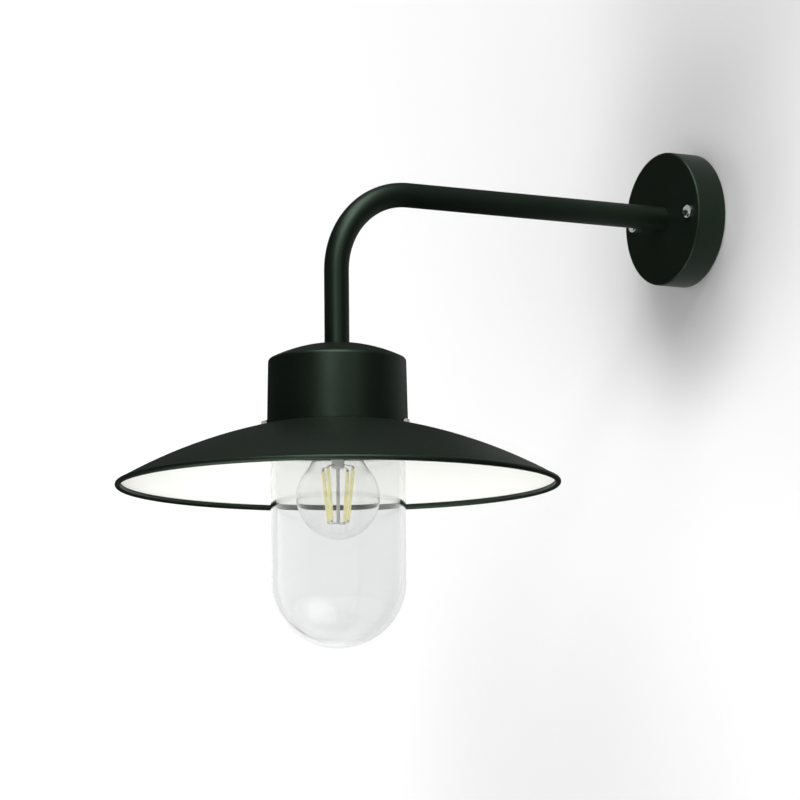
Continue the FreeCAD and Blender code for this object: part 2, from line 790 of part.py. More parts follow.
def nipple(label, thread_length, place, direction):
    """A threaded nipple whose plug is brazed into the tube; the thread points along the direction."""
    plug = (mm.arm_tube_radius - mm.arm_tube_wall).number
    bore = mm.nipple_bore_radius.number
    deep = -mm.nipple_plug_length.number
    chamfer = mm.nipple_spare.number / 2
    thread = mm.nipple_thread_radius.number
    solid = turned([(bore, deep), (plug, deep), (plug, 0), (thread, 0), (thread, thread_length - chamfer),
                    (thread - chamfer, thread_length), (bore, thread_length)])
    group(label, [solid], FreeCAD.Placement(place, FreeCAD.Rotation(UP, direction)))


def make_arm_fixings():
    bore = (mm.nipple_thread_radius + mm.thread_clearance).number
    washer = flat_washer(mm.washer_radius.number, bore, mm.washer_thickness.number)
    nut = hex_nut(mm.nut_across_flats.number, mm.nut_height.number, bore)
    face = rose_face_inside.number
    nipple("wall_nipple", upper_nipple_length.number, Vector(0, -mm.rose_depth.number, 0), INWARD)
    group("wall_washer", [aimed(washer, Vector(0, face, 0), INWARD)])
    group("wall_nut", [aimed(nut, Vector(0, face + mm.washer_thickness.number, 0), INWARD)])
    y = lamp_y.number
    top = -mm.cap_top_drop.number
    roof = cap_roof_under.number
    nipple("lamp_nipple", top - lower_nipple_end.number, Vector(0, y, top), -UP)
    group("lamp_washer", [aimed(washer, Vector(0, y, roof), -UP)])
    group("lamp_nut", [aimed(nut, Vector(0, y, roof - mm.washer_thickness.number), -UP)])
    thin = hex_nut(mm.nut_across_flats.number, mm.thin_nut_height.number, bore)
    group("strap_nut", [aimed(thin, Vector(0, y, strap_under.number), -UP)])


# The cap and the lampholder

def make_cap():
    body = new_body("cap", lamp_y)
    profile = new_sketch(body, "XZ_Plane", "Profile")
    top = -mm.cap_top_drop
    roof = cap_roof_under
    hole = mm.nipple_thread_radius + mm.screw_clearance
    crown = mm.cap_crown_radius
    inner_crown = crown - mm.cap_wall
    seat_rise = (crown * crown - mm.cap_seat_radius * mm.cap_seat_radius).root()
    inner_seat_rise = (inner_crown * inner_crown - mm.cap_seat_radius * mm.cap_seat_radius).root()
    inner_shoulder = mm.cap_shoulder_radius - mm.cap_wall
    outer_fall = seat_rise - (crown * crown - mm.cap_shoulder_radius * mm.cap_shoulder_radius).root()
    inner_fall = inner_seat_rise - (inner_crown * inner_crown - inner_shoulder * inner_shoulder).root()
    outline(profile, [
        (hole, roof),
        (mm.cap_seat_radius, roof, inner_crown, True),
        (inner_shoulder, roof - inner_fall),
        (mm.cap_rim_radius - mm.cap_wall, shade_seat),
        (mm.cap_rim_radius, shade_seat),
        (mm.cap_shoulder_radius, top - outer_fall, crown),
        (mm.cap_seat_radius, top),
        (hole, top),
    ])
    revolve(body, profile)
    shoulder = mm.cap_shoulder_radius.number
    margin = mm.thread_clearance.number
    round_edges(body, mm.cap_edge_radius,
                lambda edge: abs(edge.BoundBox.XMax - shoulder) < margin and edge.BoundBox.ZLength < margin)
    post = new_sketch(body, "XY_Plane", "Post", shade_under)
    ring(post, NONE, mm.post_circle_radius, mm.post_radius)
    first = pad(body, post, mm.cap_height, up_to_first=True, name="PostPad")
    polar(body, [first], POST_COUNT, "Z_Axis", True, name="Posts")
    drill = new_sketch(body, "XY_Plane", "PostHole", shade_under)
    ring(drill, NONE, mm.post_circle_radius, mm.post_hole_radius)
    hole_cut = pocket(body, drill, mm.post_hole_depth, backwards=True, name="PostHoleCut")
    polar(body, [hole_cut], POST_COUNT, "Z_Axis", False, name="PostHoles")


def make_strap():
    body = new_body("holder_strap", lamp_y)
    profile = new_sketch(body, "YZ_Plane", "Profile")
    span = mm.strap_half_span
    sheet = mm.strap_sheet
    foot = strap_foot_end
    outline(profile, [
        (-span, lamp_nut_under),
        (-span, holder_top + sheet),
        (-foot, holder_top + sheet),
        (-foot, holder_top),
        (sheet - span, holder_top),
        (sheet - span, strap_under),
        (span - sheet, strap_under),
        (span - sheet, holder_top),
        (foot, holder_top),
        (foot, holder_top + sheet),
        (span, holder_top + sheet),
        (span, lamp_nut_under),
    ])
    pad(body, profile, mm.strap_width, both_ways=True, name="Strap")
    holes = new_sketch(body, "XY_Plane", "Holes")
    ring(holes, NONE, NONE, mm.nipple_thread_radius + mm.screw_clearance)
    for side in (-holder_screw_spread, holder_screw_spread):
        ring(holes, NONE, side, mm.small_screw_radius + mm.screw_clearance)
    pocket(body, holes, name="HolesCut")
    earth = new_sketch(body, "XZ_Plane", "EarthHole")
    ring(earth, NONE, earth_screw_height(), mm.small_screw_radius + mm.thread_clearance)
    pocket(body, earth, backwards=True, name="EarthHoleCut")


def earth_screw_height():
    """The height of the earth screw."""
    return -(mm.earth_drop + mm.tag_drop_below_lead)


def make_lampholder():
    body = new_body("lampholder", lamp_y)
    profile = new_sketch(body, "XZ_Plane", "Profile")
    floor = holder_top - mm.holder_floor
    rim = -mm.holder_rim_drop
    edge = mm.holder_edge
    cavity = mm.contact_shell_radius + mm.fit_clearance
    shell_low = -(mm.contact_shell_top_drop + mm.contact_shell_length)
    waist = -mm.holder_waist_drop
    outline(profile, [
        (NONE, floor),
        (cavity, floor),
        (cavity, shell_low),
        (mm.holder_mouth_radius, shell_low),
        (mm.holder_mouth_radius, rim),
        (holder_radius - edge, rim, edge),
        (holder_radius, rim + edge),
        (holder_radius, waist - edge),
        (holder_waist_radius, waist),
        (holder_waist_radius, holder_top - edge, edge),
        (holder_waist_radius - edge, holder_top),
        (NONE, holder_top),
    ])
    revolve(body, profile)
    drill = new_sketch(body, "XY_Plane", "ScrewHoles", holder_top)
    for side in (-holder_screw_spread, holder_screw_spread):
        ring(drill, NONE, side, mm.small_screw_radius + mm.thread_clearance)
    pocket(body, drill, mm.small_screw_length, name="ScrewHolesCut")


def make_holder_contacts():
    y = lamp_y.number
    outer = mm.contact_shell_radius.number
    inner = outer - mm.contact_shell_wall.number
    long = mm.contact_shell_length.number
    tube = Part.makeCylinder(outer, long).cut(Part.makeCylinder(inner, long))
    low = -mm.contact_shell_top_drop.number - long
    group("contact_shell", [aimed(tube, Vector(0, y, low), UP)])
    group("centre_contact", [spring_tongue()], FreeCAD.Placement(Vector(0, y, 0), FreeCAD.Rotation()))


def spring_tongue():
    """The centre contact: a flat strip on the holder's floor with a sprung leaf folded under it."""
    sheet = mm.tongue_sheet.number
    half = mm.tongue_half_length.number
    bend = mm.tongue_bend.number
    tip = mm.tongue_tip.number
    floor = (holder_top - mm.holder_floor).number
    touch = (mm.fit_clearance - mm.lamp_foot_drop).number
    wide = INWARD * mm.tongue_width.number
    strip = [(-half, floor - sheet), (half, floor - sheet), (half, floor), (-half, floor)]
    leaf = [(-half, floor - sheet - sheet), (-bend, floor - sheet - sheet), (-tip, touch), (tip, touch),
            (tip, touch + sheet), (-tip, touch + sheet), (-bend, floor - sheet), (-half, floor - sheet)]
    solids = []
    for corners in (strip, leaf):
        points = [Vector(x, 0, z) - wide / 2 for x, z in corners]
        solids.append(Part.Face(Part.makePolygon(points + [points[0]])).extrude(wide))
    return solids[0].fuse(solids[1]).removeSplitter()


def make_holder_terminals():
    y = lamp_y.number
    long = mm.terminal_length.number
    wide = mm.terminal_width.number
    tall = mm.terminal_height.number
    inner = mm.terminal_inner.number
    bore = -mm.terminal_bore_drop.number - holder_top.number
    block = Part.makeBox(long, wide, tall, Vector(inner, -wide / 2, 0))
    block = block.cut(Part.makeCylinder(mm.terminal_bore_radius.number, long, Vector(inner, 0, bore), ACROSS))
    screw_x = inner + long / 2
    screw_radius = mm.small_screw_radius.number
    hole_low = bore + mm.terminal_bore_radius.number
    block = block.cut(Part.makeCylinder(screw_radius + mm.thread_clearance.number, tall,
                                        Vector(screw_x, 0, bore)))
    turn = FreeCAD.Rotation(UP, TURN / 2)
    place = Vector(0, y, holder_top.number)
    both = [FreeCAD.Placement(place, FreeCAD.Rotation()), FreeCAD.Placement(place, turn)]
    group("holder_terminals", [block.transformed(spot.toMatrix()) for spot in both])
    screw = pan_screw(mm.small_screw_head_radius.number, mm.small_screw_head_height.number, screw_radius,
                      tall - hole_low)
    screw.translate(Vector(screw_x, 0, tall))
    group("terminal_screws", [screw.transformed(spot.toMatrix()) for spot in both])
    fixing = pan_screw(mm.small_screw_head_radius.number, mm.small_screw_head_height.number, screw_radius,
                       mm.small_screw_length.number + mm.strap_sheet.number - mm.cut_overrun.number)
    spread = holder_screw_spread.number
    head = (holder_top + mm.strap_sheet).number
    places = [Vector(0, y + side, head) for side in (-spread, spread)]
    group("holder_screws", [aimed(fixing, spot, UP) for spot in places])


def make_earth_tag():
    y = lamp_y.number
    leg = y - (mm.strap_half_span - mm.strap_sheet).number
    sheet = mm.tag_sheet.number
    ring_radius = mm.tag_ring_radius.number
    low = earth_screw_height().number
    high = -mm.earth_drop.number
    hole = mm.small_screw_radius.number + mm.screw_clearance.number
    outer = (mm.lead_radius + mm.thread_clearance + mm.tag_barrel_wall).number
    disc = Part.makeCylinder(ring_radius, sheet, Vector(0, leg, low), INWARD)
    neck = Part.makeBox(outer * 2, sheet, high - low, Vector(-outer, leg, low))
    barrel = Part.makeCylinder(outer, sheet + mm.tag_barrel_length.number, Vector(0, leg, high), INWARD)
    tag = disc.fuse([neck, barrel]).removeSplitter()
    tag = tag.cut(Part.makeCylinder(hole, sheet, Vector(0, leg, low), INWARD))
    bore = mm.lead_radius.number + mm.thread_clearance.number
    tag = tag.cut(Part.makeCylinder(bore, mm.tag_barrel_length.number, Vector(0, leg + sheet, high), INWARD))
    group("earth_tag", [tag])
    screw = pan_screw(mm.small_screw_head_radius.number, mm.small_screw_head_height.number,
                      mm.small_screw_radius.number, sheet + mm.strap_sheet.number)
    group("earth_screw", [aimed(screw, Vector(0, leg + sheet, low), INWARD)])


def make_leads():
    y = lamp_y.number
    depth = barrel_depth().number
    entry = mm.lead_entry.number
    start = -mm.block_drop.number - entry
    offset = mm.lead_offset.number
    spread_z = -mm.lead_spread_drop.number
    bend = mm.arm_bend_radius.number
    turn = mm.lead_turn_radius.number
    wide_turn = mm.lead_spread_turn_radius.number
    low = -mm.terminal_bore_drop.number
    inner = mm.terminal_inner.number
    for label, side in (("live_lead", -1), ("neutral_lead", 1)):
        pole = side * mm.block_pole_pitch.number
        lead(label, [
            Vector(pole, depth, start),
            Vector(pole, depth, spread_z),
            Vector(side * offset, depth, 0),
            Vector(side * offset, y, 0),
            Vector(side * offset, y, low),
            Vector(side * (inner + entry), y, low),
        ], [wide_turn, turn, bend, turn])
    high = offset
    out = y - offset
    end = y - (mm.strap_half_span - mm.strap_sheet - mm.tag_sheet).number
    lead("earth_lead", [
        Vector(0, depth, start),
        Vector(0, depth, high),
        Vector(0, out, high),
        Vector(0, out, -mm.earth_drop.number),
        Vector(0, end, -mm.earth_drop.number),
    ], [turn, bend + offset, mm.earth_turn_radius.number])


# The shade, the collar and the jar

def make_shade():
    body = new_body("shade", lamp_y, shade_turn)
    profile = new_sketch(body, "XZ_Plane", "Profile")
    bead = mm.shade_bead_radius
    inner_x = bead_x - bead
    bead_z = -mm.shade_rim_drop
    outline(profile, [
        (mm.shade_hole_radius, shade_under),
        (seat_under_x, shade_under, dish_under_radius, True),
        (inner_x, dish_height_at(inner_x, mm.shade_sheet)),
        (inner_x, bead_z, bead),
        (bead_x, bead_z - bead, bead),
        (mm.shade_radius, bead_z, bead),
        (bead_x, bead_top, mm.shade_crown_radius),
        (mm.shade_seat_radius, shade_seat),
        (mm.shade_hole_radius, shade_seat),
    ])
    revolve(body, profile)
    drill_for_shade_screws(body, mm.screw_clearance)


def drill_for_shade_screws(body, clearance):
    """Drill a body square to the dish for each shade screw; the first lies on the body's own x axis."""
    radius = mm.shade_screw_circle_radius
    above = mm.cut_overrun
    lean = shade_screw_lean()
    start_x = radius + lean.sine() * above
    start_z = dish_height_at(radius) + lean.cosine() * above
    drill = tilted_sketch(body, "ScrewHole", start_x, start_z, lean)
    ring(drill, NONE, NONE, mm.shade_screw_radius + clearance)
    cut = pocket(body, drill, above + mm.shade_screw_length + mm.cut_overrun, name="ScrewHoleCut")
    polar(body, [cut], SHADE_SCREW_COUNT, "Z_Axis", False, name="ShadeScrewHoles")


def shade_screw_lean():
    """The angle by which the dish's surface leans outwards under its screws."""
    return ((mm.shade_screw_circle_radius - dish_centre_x) / mm.shade_crown_radius).arcsine()


def make_shade_screws():
    screw = pan_screw(mm.shade_screw_head_radius.number, mm.shade_screw_head_height.number,
                      mm.shade_screw_radius.number, mm.shade_screw_length.number)
    radius = mm.shade_screw_circle_radius.number
    lean = math.radians(shade_screw_lean().number)
    screws = []
    for index in range(SHADE_SCREW_COUNT):
        angle = math.radians(shade_turn.number + TURN / SHADE_SCREW_COUNT * index)
        outward = Vector(math.cos(angle), math.sin(angle), 0)
        place = outward * radius + UP * dish_height_at(mm.shade_screw_circle_radius).number
        direction = outward * math.sin(lean) + UP * math.cos(lean)
        screws.append(aimed(screw, place + INWARD * lamp_y.number, direction))
    group("shade_screws", screws)


def make_collar():
    body = new_body("glass_collar", lamp_y, shade_turn)
    profile = new_sketch(body, "XZ_Plane", "Profile")
    bore = mm.jar_neck_radius + mm.loose_clearance
    skirt = bore + mm.collar_skirt_wall
    skirt_low = web_under - mm.collar_skirt_length
    flange_top = dish_height_at(mm.collar_flange_radius, mm.shade_sheet) - mm.screw_clearance
    seat_x = mm.cap_rim_radius - mm.cap_wall
    outline(profile, [
        (mm.collar_mouth_radius, web_under),
        (bore, web_under),
        (bore, skirt_low),
        (skirt, skirt_low),
        (skirt, web_under),
        (mm.collar_flange_radius, flange_top - mm.collar_web),
        (mm.collar_flange_radius, flange_top),
        (seat_x, shade_under),
        (mm.collar_mouth_radius, shade_under),
    ])
    revolve(body, profile)
    holes = new_sketch(body, "XY_Plane", "PostScrewHole", shade_under)
    back = Size.of(TURN / 4) - shade_turn
    ring(holes, back.cosine() * mm.post_circle_radius, back.sine() * mm.post_circle_radius,
         mm.collar_screw_radius + mm.screw_clearance)
    cut = pocket(body, holes, mm.collar_web, name="PostScrewHoleCut")
    polar(body, [cut], POST_COUNT, "Z_Axis", False, name="PostScrewHoles")
    drill_for_shade_screws(body, mm.thread_clearance)


def make_collar_screws():
    screw = pan_screw(mm.collar_screw_head_radius.number, mm.collar_screw_head_height.number,
                      mm.collar_screw_radius.number - mm.thread_clearance.number,
                      mm.collar_screw_length.number)
    places = []
    for index in range(POST_COUNT):
        angle = math.radians(TURN / 4 + TURN / POST_COUNT * index)
        radius = mm.post_circle_radius.number
        places.append(Vector(radius * math.cos(angle), lamp_y.number + radius * math.sin(angle),
                             web_under.number))
    group("collar_screws", [aimed(screw, place, -UP) for place in places])


def make_seal():
    body = new_body("jar_seal", lamp_y)
    profile = new_sketch(body, "XZ_Plane", "Profile")
    inner = mm.jar_neck_radius - mm.jar_wall
    outer = mm.jar_neck_radius
    outline(profile, [(inner, jar_neck_top), (outer, jar_neck_top), (outer, web_under), (inner, web_under)])
    revolve(body, profile)


def make_jar():
    body = new_body("glass_jar", lamp_y)
    profile = new_sketch(body, "XZ_Plane", "Profile")
    wall = mm.jar_wall
    outer = mm.jar_radius
    inner = outer - wall
    neck = mm.jar_neck_radius
    neck_inner = neck - wall
    shoulder = outer - neck
    neck_low = jar_neck_top - mm.jar_neck_length
    side_top = neck_low - shoulder
    centre = -mm.jar_bottom_centre_drop
    outline(profile, [
        (NONE, centre - outer, outer),
        (outer, centre),
        (outer, side_top, shoulder),
        (neck, neck_low),
        (neck, jar_neck_top),
        (neck_inner, jar_neck_top),
        (neck_inner, neck_low),
        (neck, neck_low - wall, shoulder - wall, True),
        (inner, side_top),
        (inner, centre, inner, True),
        (NONE, centre - inner),
    ])
    revolve(body, profile)


# The lamp

def make_lamp_glass():
    body = new_body("lamp_glass", lamp_y)
    profile = new_sketch(body, "XZ_Plane", "Profile")
    globe = mm.lamp_globe_radius
    neck = mm.lamp_neck_radius
    wall = mm.lamp_glass_wall
    top = -(mm.lamp_foot_drop + mm.lamp_foot_height + mm.lamp_insulator_height + mm.lamp_shell_length)
    rise = mm.lamp_globe_below_shell
    centre = top - rise
    sweep = (neck * neck + rise * rise - globe * globe) / ((globe - neck) * 2)
    share = globe / (globe + sweep)
    join_x = (neck + sweep) * share
    join_z = centre + rise * share
    inner_share = (globe - wall) / (globe + sweep)
    inner_x = (neck + sweep) * inner_share
    inner_z = centre + rise * inner_share
    outline(profile, [
        (NONE, centre - globe, globe),
        (globe, centre, globe),
        (join_x, join_z, sweep, True),
        (neck, top),
        (neck - wall, top, sweep + wall),
        (inner_x, inner_z, globe - wall, True),
        (globe - wall, centre, globe - wall, True),
        (NONE, centre - globe + wall),
    ])
    revolve(body, profile)


def make_lamp_base():
    body = new_body("lamp_shell", lamp_y)
    profile = new_sketch(body, "XZ_Plane", "Profile")
    insulator_low = -(mm.lamp_foot_drop + mm.lamp_foot_height + mm.lamp_insulator_height)
    low = insulator_low - mm.lamp_shell_length
    wall = mm.lamp_shell_wall
    radius = mm.lamp_shell_radius
    shoulder = mm.lamp_shell_shoulder_radius
    shoulder_low = insulator_low - mm.lamp_shell_shoulder_length
    outline(profile, [
        (radius - wall, low),
        (radius, low),
        (radius, shoulder_low),
        (shoulder, insulator_low),
        (shoulder - wall, insulator_low),
        (radius - wall, shoulder_low - wall),
    ])
    revolve(body, profile)
    foot_low = -(mm.lamp_foot_drop + mm.lamp_foot_height)
    insulator = new_body("lamp_insulator", lamp_y)
    cone = new_sketch(insulator, "XZ_Plane", "Profile")
    outline(cone, [
        (NONE, insulator_low),
        (shoulder, insulator_low),
        (mm.lamp_foot_radius, foot_low),
        (NONE, foot_low),
    ])
    revolve(insulator, cone)
    foot = new_body("lamp_foot_contact", lamp_y)
    button = new_sketch(foot, "XZ_Plane", "Profile")
    edge = mm.lamp_foot_height / 2
    outline(button, [
        (NONE, foot_low),
        (mm.lamp_foot_radius, foot_low),
        (mm.lamp_foot_radius, foot_low + edge, edge),
        (mm.lamp_foot_radius - edge, -mm.lamp_foot_drop),
        (NONE, -mm.lamp_foot_drop),
    ])
    revolve(foot, button)


def make_stem():
    body = new_body("lamp_stem", lamp_y)
    profile = new_sketch(body, "XZ_Plane", "Profile")
    top = -(mm.lamp_foot_drop + mm.lamp_foot_height + mm.lamp_insulator_height + mm.lamp_shell_length)
    flare = mm.lamp_neck_radius - mm.lamp_glass_wall - mm.loose_clearance
    tube = mm.stem_tube_radius
    wall = mm.lamp_glass_wall
    press = -mm.stem_press_drop
    tube_top = press + mm.stem_tube_length
    tip = -mm.stem_rod_drop
    outline(profile, [
        (NONE, tip),
        (mm.stem_rod_radius, tip),
        (mm.stem_rod_radius, press),
        (tube, press),
        (tube, tube_top),
        (flare, top),
        (flare - wall, top),
        (tube - wall, tube_top + wall),
        (tube - wall, press + tube),
        (NONE, press + tube),
    ])
    revolve(body, profile)


def filament_ends(index):
    """The upper and lower end of one filament, round the lamp's own axis."""
    angle = math.radians(mm.filament_turn.number + TURN / FILAMENT_COUNT * index)
    outward = Vector(math.cos(angle), math.sin(angle), 0)
    top = outward * mm.filament_top_circle_radius.number - UP * mm.stem_press_drop.number
    bottom = outward * mm.filament_bottom_circle_radius.number - UP * mm.stem_rod_drop.number
    return top, bottom


def rod_between(start, end, radius):
    """A round rod from one point to another."""
    run = end - start
    return Part.makeCylinder(radius, run.Length, start, run)


def make_filaments():
    shift = FreeCAD.Placement(Vector(0, lamp_y.number, 0), FreeCAD.Rotation())
    wire = mm.support_wire_radius.number
    rise = UP * (wire + mm.support_weld_gap.number)
    press = Vector(0, 0, -mm.stem_press_drop.number)
    tip = Vector(0, 0, -mm.stem_rod_drop.number)
    tube = mm.stem_tube_radius.number
    rod = mm.stem_rod_radius.number
    filaments = []
    supports = []
    for index in range(FILAMENT_COUNT):
        top, bottom = filament_ends(index)
        filaments.append(rod_between(top, bottom, mm.filament_radius.number))
        outward = Vector(top.x, top.y, 0).normalize()
        root = press + UP * (tube / 2) + outward * tube
        supports.append(rod_between(root, top + rise, wire))
        supports.append(rod_between(tip + outward * rod - rise, bottom - rise, wire))
    group("led_filaments", filaments, shift)
    group("filament_supports", supports, shift)


def make_driver():
    y = lamp_y.number
    wide = (mm.lamp_shell_radius - mm.lamp_shell_wall - mm.loose_clearance).number * 2
    tall = mm.driver_board_height.number
    sheet = mm.driver_board_sheet.number
    low = -(mm.lamp_foot_drop + mm.lamp_foot_height + mm.lamp_insulator_height).number
    low -= mm.lamp_shell_shoulder_length.number + tall
    board = Part.makeBox(wide, sheet, tall, Vector(-wide / 2, y - sheet / 2, low))
    radius = mm.driver_capacitor_radius.number
    can = Part.makeCylinder(radius, tall - radius, Vector(0, y + sheet / 2 + radius, low + radius / 2))
    group("lamp_driver", [board.fuse(can)])


def build():
    make_wall_plate()
    make_grommet()
    make_rose()
    make_rose_screws()
    make_terminal_block()
    make_terminal_fittings()
    make_arm_tube()
    make_arm_fixings()
    make_cap()
    make_strap()
    make_lampholder()
    make_holder_contacts()
    make_holder_terminals()
    make_earth_tag()
    make_leads()
    make_shade()
    make_shade_screws()
    make_collar()
    make_collar_screws()
    make_seal()
    make_jar()
    make_lamp_glass()
    make_lamp_base()
    make_stem()
    make_filaments()
    make_driver()


def check_and_write():
    """Check every object and every piece, then write one file for each piece."""
    doc.recompute()
    for item in doc.Objects:
        if "Invalid" in item.State or "Error" in item.State:
            raise RuntimeError("%s failed: %s" % (item.Label, item.State))
    for piece in parts:
        if piece.Shape.isNull() or not piece.Shape.isValid():
            raise RuntimeError("%s has no valid shape" % piece.Label)
    os.makedirs("parts", exist_ok=True)
    for piece in parts:
        piece.Shape.exportStep("parts/%s.step" % piece.Label)
        print(piece.Label, len(piece.Shape.Solids), "solid(s)", round(piece.Shape.Volume, 1), "mm3")


build()
check_and_write()
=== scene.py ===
"""Looks of the wall bracket light: rose, bent arm, cap, dish shade, glass jar and filament lamp."""

import logging
import math
from dataclasses import dataclass, field
from enum import Enum
from typing import Any

import bmesh
import bpy
from bpy.types import Material, Mesh, Node, NodeSocket, NodeTree, Object
from mathutils import Matrix, Vector

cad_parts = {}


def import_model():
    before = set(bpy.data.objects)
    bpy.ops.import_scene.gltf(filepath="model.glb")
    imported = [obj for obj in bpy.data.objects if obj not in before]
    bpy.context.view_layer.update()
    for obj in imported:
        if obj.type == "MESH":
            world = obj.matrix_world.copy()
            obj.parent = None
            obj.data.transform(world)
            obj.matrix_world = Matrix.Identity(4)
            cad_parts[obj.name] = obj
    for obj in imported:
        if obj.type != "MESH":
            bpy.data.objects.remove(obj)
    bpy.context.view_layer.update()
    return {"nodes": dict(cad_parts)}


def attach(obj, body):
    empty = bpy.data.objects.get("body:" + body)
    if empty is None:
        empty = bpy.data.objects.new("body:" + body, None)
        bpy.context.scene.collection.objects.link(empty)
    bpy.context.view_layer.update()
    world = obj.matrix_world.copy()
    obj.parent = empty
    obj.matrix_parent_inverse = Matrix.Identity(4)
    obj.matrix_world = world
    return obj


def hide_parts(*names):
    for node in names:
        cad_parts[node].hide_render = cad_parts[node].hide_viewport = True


log = logging.getLogger("wall_bracket_light")

MM = 0.001
FULL_TURN = math.tau
# A turned point this near to its axis, in millimetres, is a pole; points this close, in metres, are one.
POLE = 1e-6
TURNED_WELD = 1e-7
# Edges sharper than this stay sharp.
CREASE = math.radians(32.0)
# The part of a noise's range that the patches of tone use, and that of two noises' sum, which sets the gloss.
PATCH_SPAN = (0.3, 0.7)
GLOSS_SPAN = (0.7, 1.3)
# A rolled shell's last stretch without thread, and the gap that its seam is welded over, in metres.
PLAIN_RIM = 0.0015
SEAM_GAP = 0.00001
# The patch that a soft light shows in clear glass: its core and its reach, as shares of the panel.
PANEL_PATCH = (0.02, 0.5)
Point = tuple[float, float]


# Shared geometry

@dataclass(frozen=True)
class Levels:
    """Heights and the lamp's axis that several pieces share, in millimetres."""

    lamp_y: float = -305.0
    cap_top: float = -113.4
    cap_rim: float = -172.6
    sheet: float = 1.2
    web: float = 3.0
    seal: float = 2.0

    @property
    def shade_under(self) -> float:
        """The underside of the shade's flat seat."""
        return self.cap_rim - self.sheet

    @property
    def web_under(self) -> float:
        """The underside of the collar's web."""
        return self.shade_under - self.web

    @property
    def neck_top(self) -> float:
        """The lip of the jar's neck, under its seal."""
        return self.web_under - self.seal

    @property
    def lamp_place(self) -> Matrix:
        """The transform from the lamp's own axis to the wall's frame."""
        return Matrix.Translation((0.0, self.lamp_y * MM, 0.0))


LEVELS = Levels()
OUT_FROM_WALL = Matrix.Rotation(math.radians(90.0), 4, "X")


def linear(colour: str) -> tuple[float, float, float, float]:
    """Turn an sRGB hex colour into linear red, green and blue.

    Args:
        colour: six hex digits with a leading hash.

    Returns:
        The linear colour with full alpha.
    """
    channels = [int(colour[i:i + 2], 16) / 255.0 for i in (1, 3, 5)]
    red, green, blue = (c / 12.92 if c <= 0.04045 else ((c + 0.055) / 1.055) ** 2.4 for c in channels)
    return red, green, blue, 1.0


def add(tree: NodeTree, kind: str, feeds: dict[Any, Any] | None = None,
        **settings: Any) -> Node:
    """Add a node, apply its settings and feed its sockets.

    Args:
        tree: the tree that the node goes into.
        kind: the node's type.
        feeds: for each input, by name or number, a value, a node (its first output) or an output socket.
        settings: the node's own properties.

    Returns:
        The new node.
    """
    node = tree.nodes.new(kind)
    for name, value in settings.items():
        setattr(node, name, value)
    for key, value in (feeds or {}).items():
        socket = node.inputs[key]
        if isinstance(value, Node):
            tree.links.new(value.outputs[0], socket)
        elif isinstance(value, NodeSocket):
            tree.links.new(value, socket)
        else:
            socket.default_value = value
    return node


def maths(tree: NodeTree, operation: str, *values: Any) -> NodeSocket:
    """Add a math node that takes numbers, nodes or sockets, and give its result."""
    return add(tree, "ShaderNodeMath", dict(enumerate(values)), operation=operation).outputs["Value"]


def ramp(tree: NodeTree, value: Any, given: tuple[Any, Any], wanted: tuple[Any, Any] = (0.0, 1.0),
         curve: str = "LINEAR") -> NodeSocket:
    """Map a value from the span that it is given onto the span that is wanted, held beyond the ends."""
    return add(tree, "ShaderNodeMapRange", dict(enumerate((value, *given, *wanted))),
               interpolation_type=curve).outputs["Result"]


def xyz(tree: NodeTree, **parts: Any) -> Node:
    """Join x, y and z into a vector; what isn't given is zero."""
    return add(tree, "ShaderNodeCombineXYZ", {name.upper(): value for name, value in parts.items()})


def shader(name: str) -> tuple[Material, NodeTree]:
    """Make a material with an empty tree.

    Args:
        name: the material's name.

    Returns:
        The material and its tree.
    """
    material = bpy.data.materials.new(name)
    material.use_nodes = True
    material.node_tree.nodes.clear()
    return material, material.node_tree


def in_scene(name: str, data: bpy.types.ID) -> Object:
    """Make an object and put it in the scene.

    Args:
        name: the object's name.
        data: its mesh or its camera.

    Returns:
        The object.
    """
    thing = bpy.data.objects.new(name, data)
    bpy.context.scene.collection.objects.link(thing)
    return thing


def flat_sheet(name: str, corners: list[tuple[float, float, float]],
               material: Material) -> Object:
    """Put up one flat face.

    Args:
        name: the sheet's name.
        corners: its corners in order, in metres.
        material: its material.

    Returns:
        The sheet.
    """
    mesh = bpy.data.meshes.new(name)
    mesh.from_pydata(corners, [], [list(range(len(corners)))])
    mesh.materials.append(material)
    return in_scene(name, mesh)


# Finishes

class Grain(Enum):
    """How a finish's surface is worked, which sets the shape of its pattern."""

    PEEL = (1.0, 1.0, 1.0)
    TURNED = (1.0, 1.0, 14.0)
    DRAWN = (1.0, 14.0, 1.0)


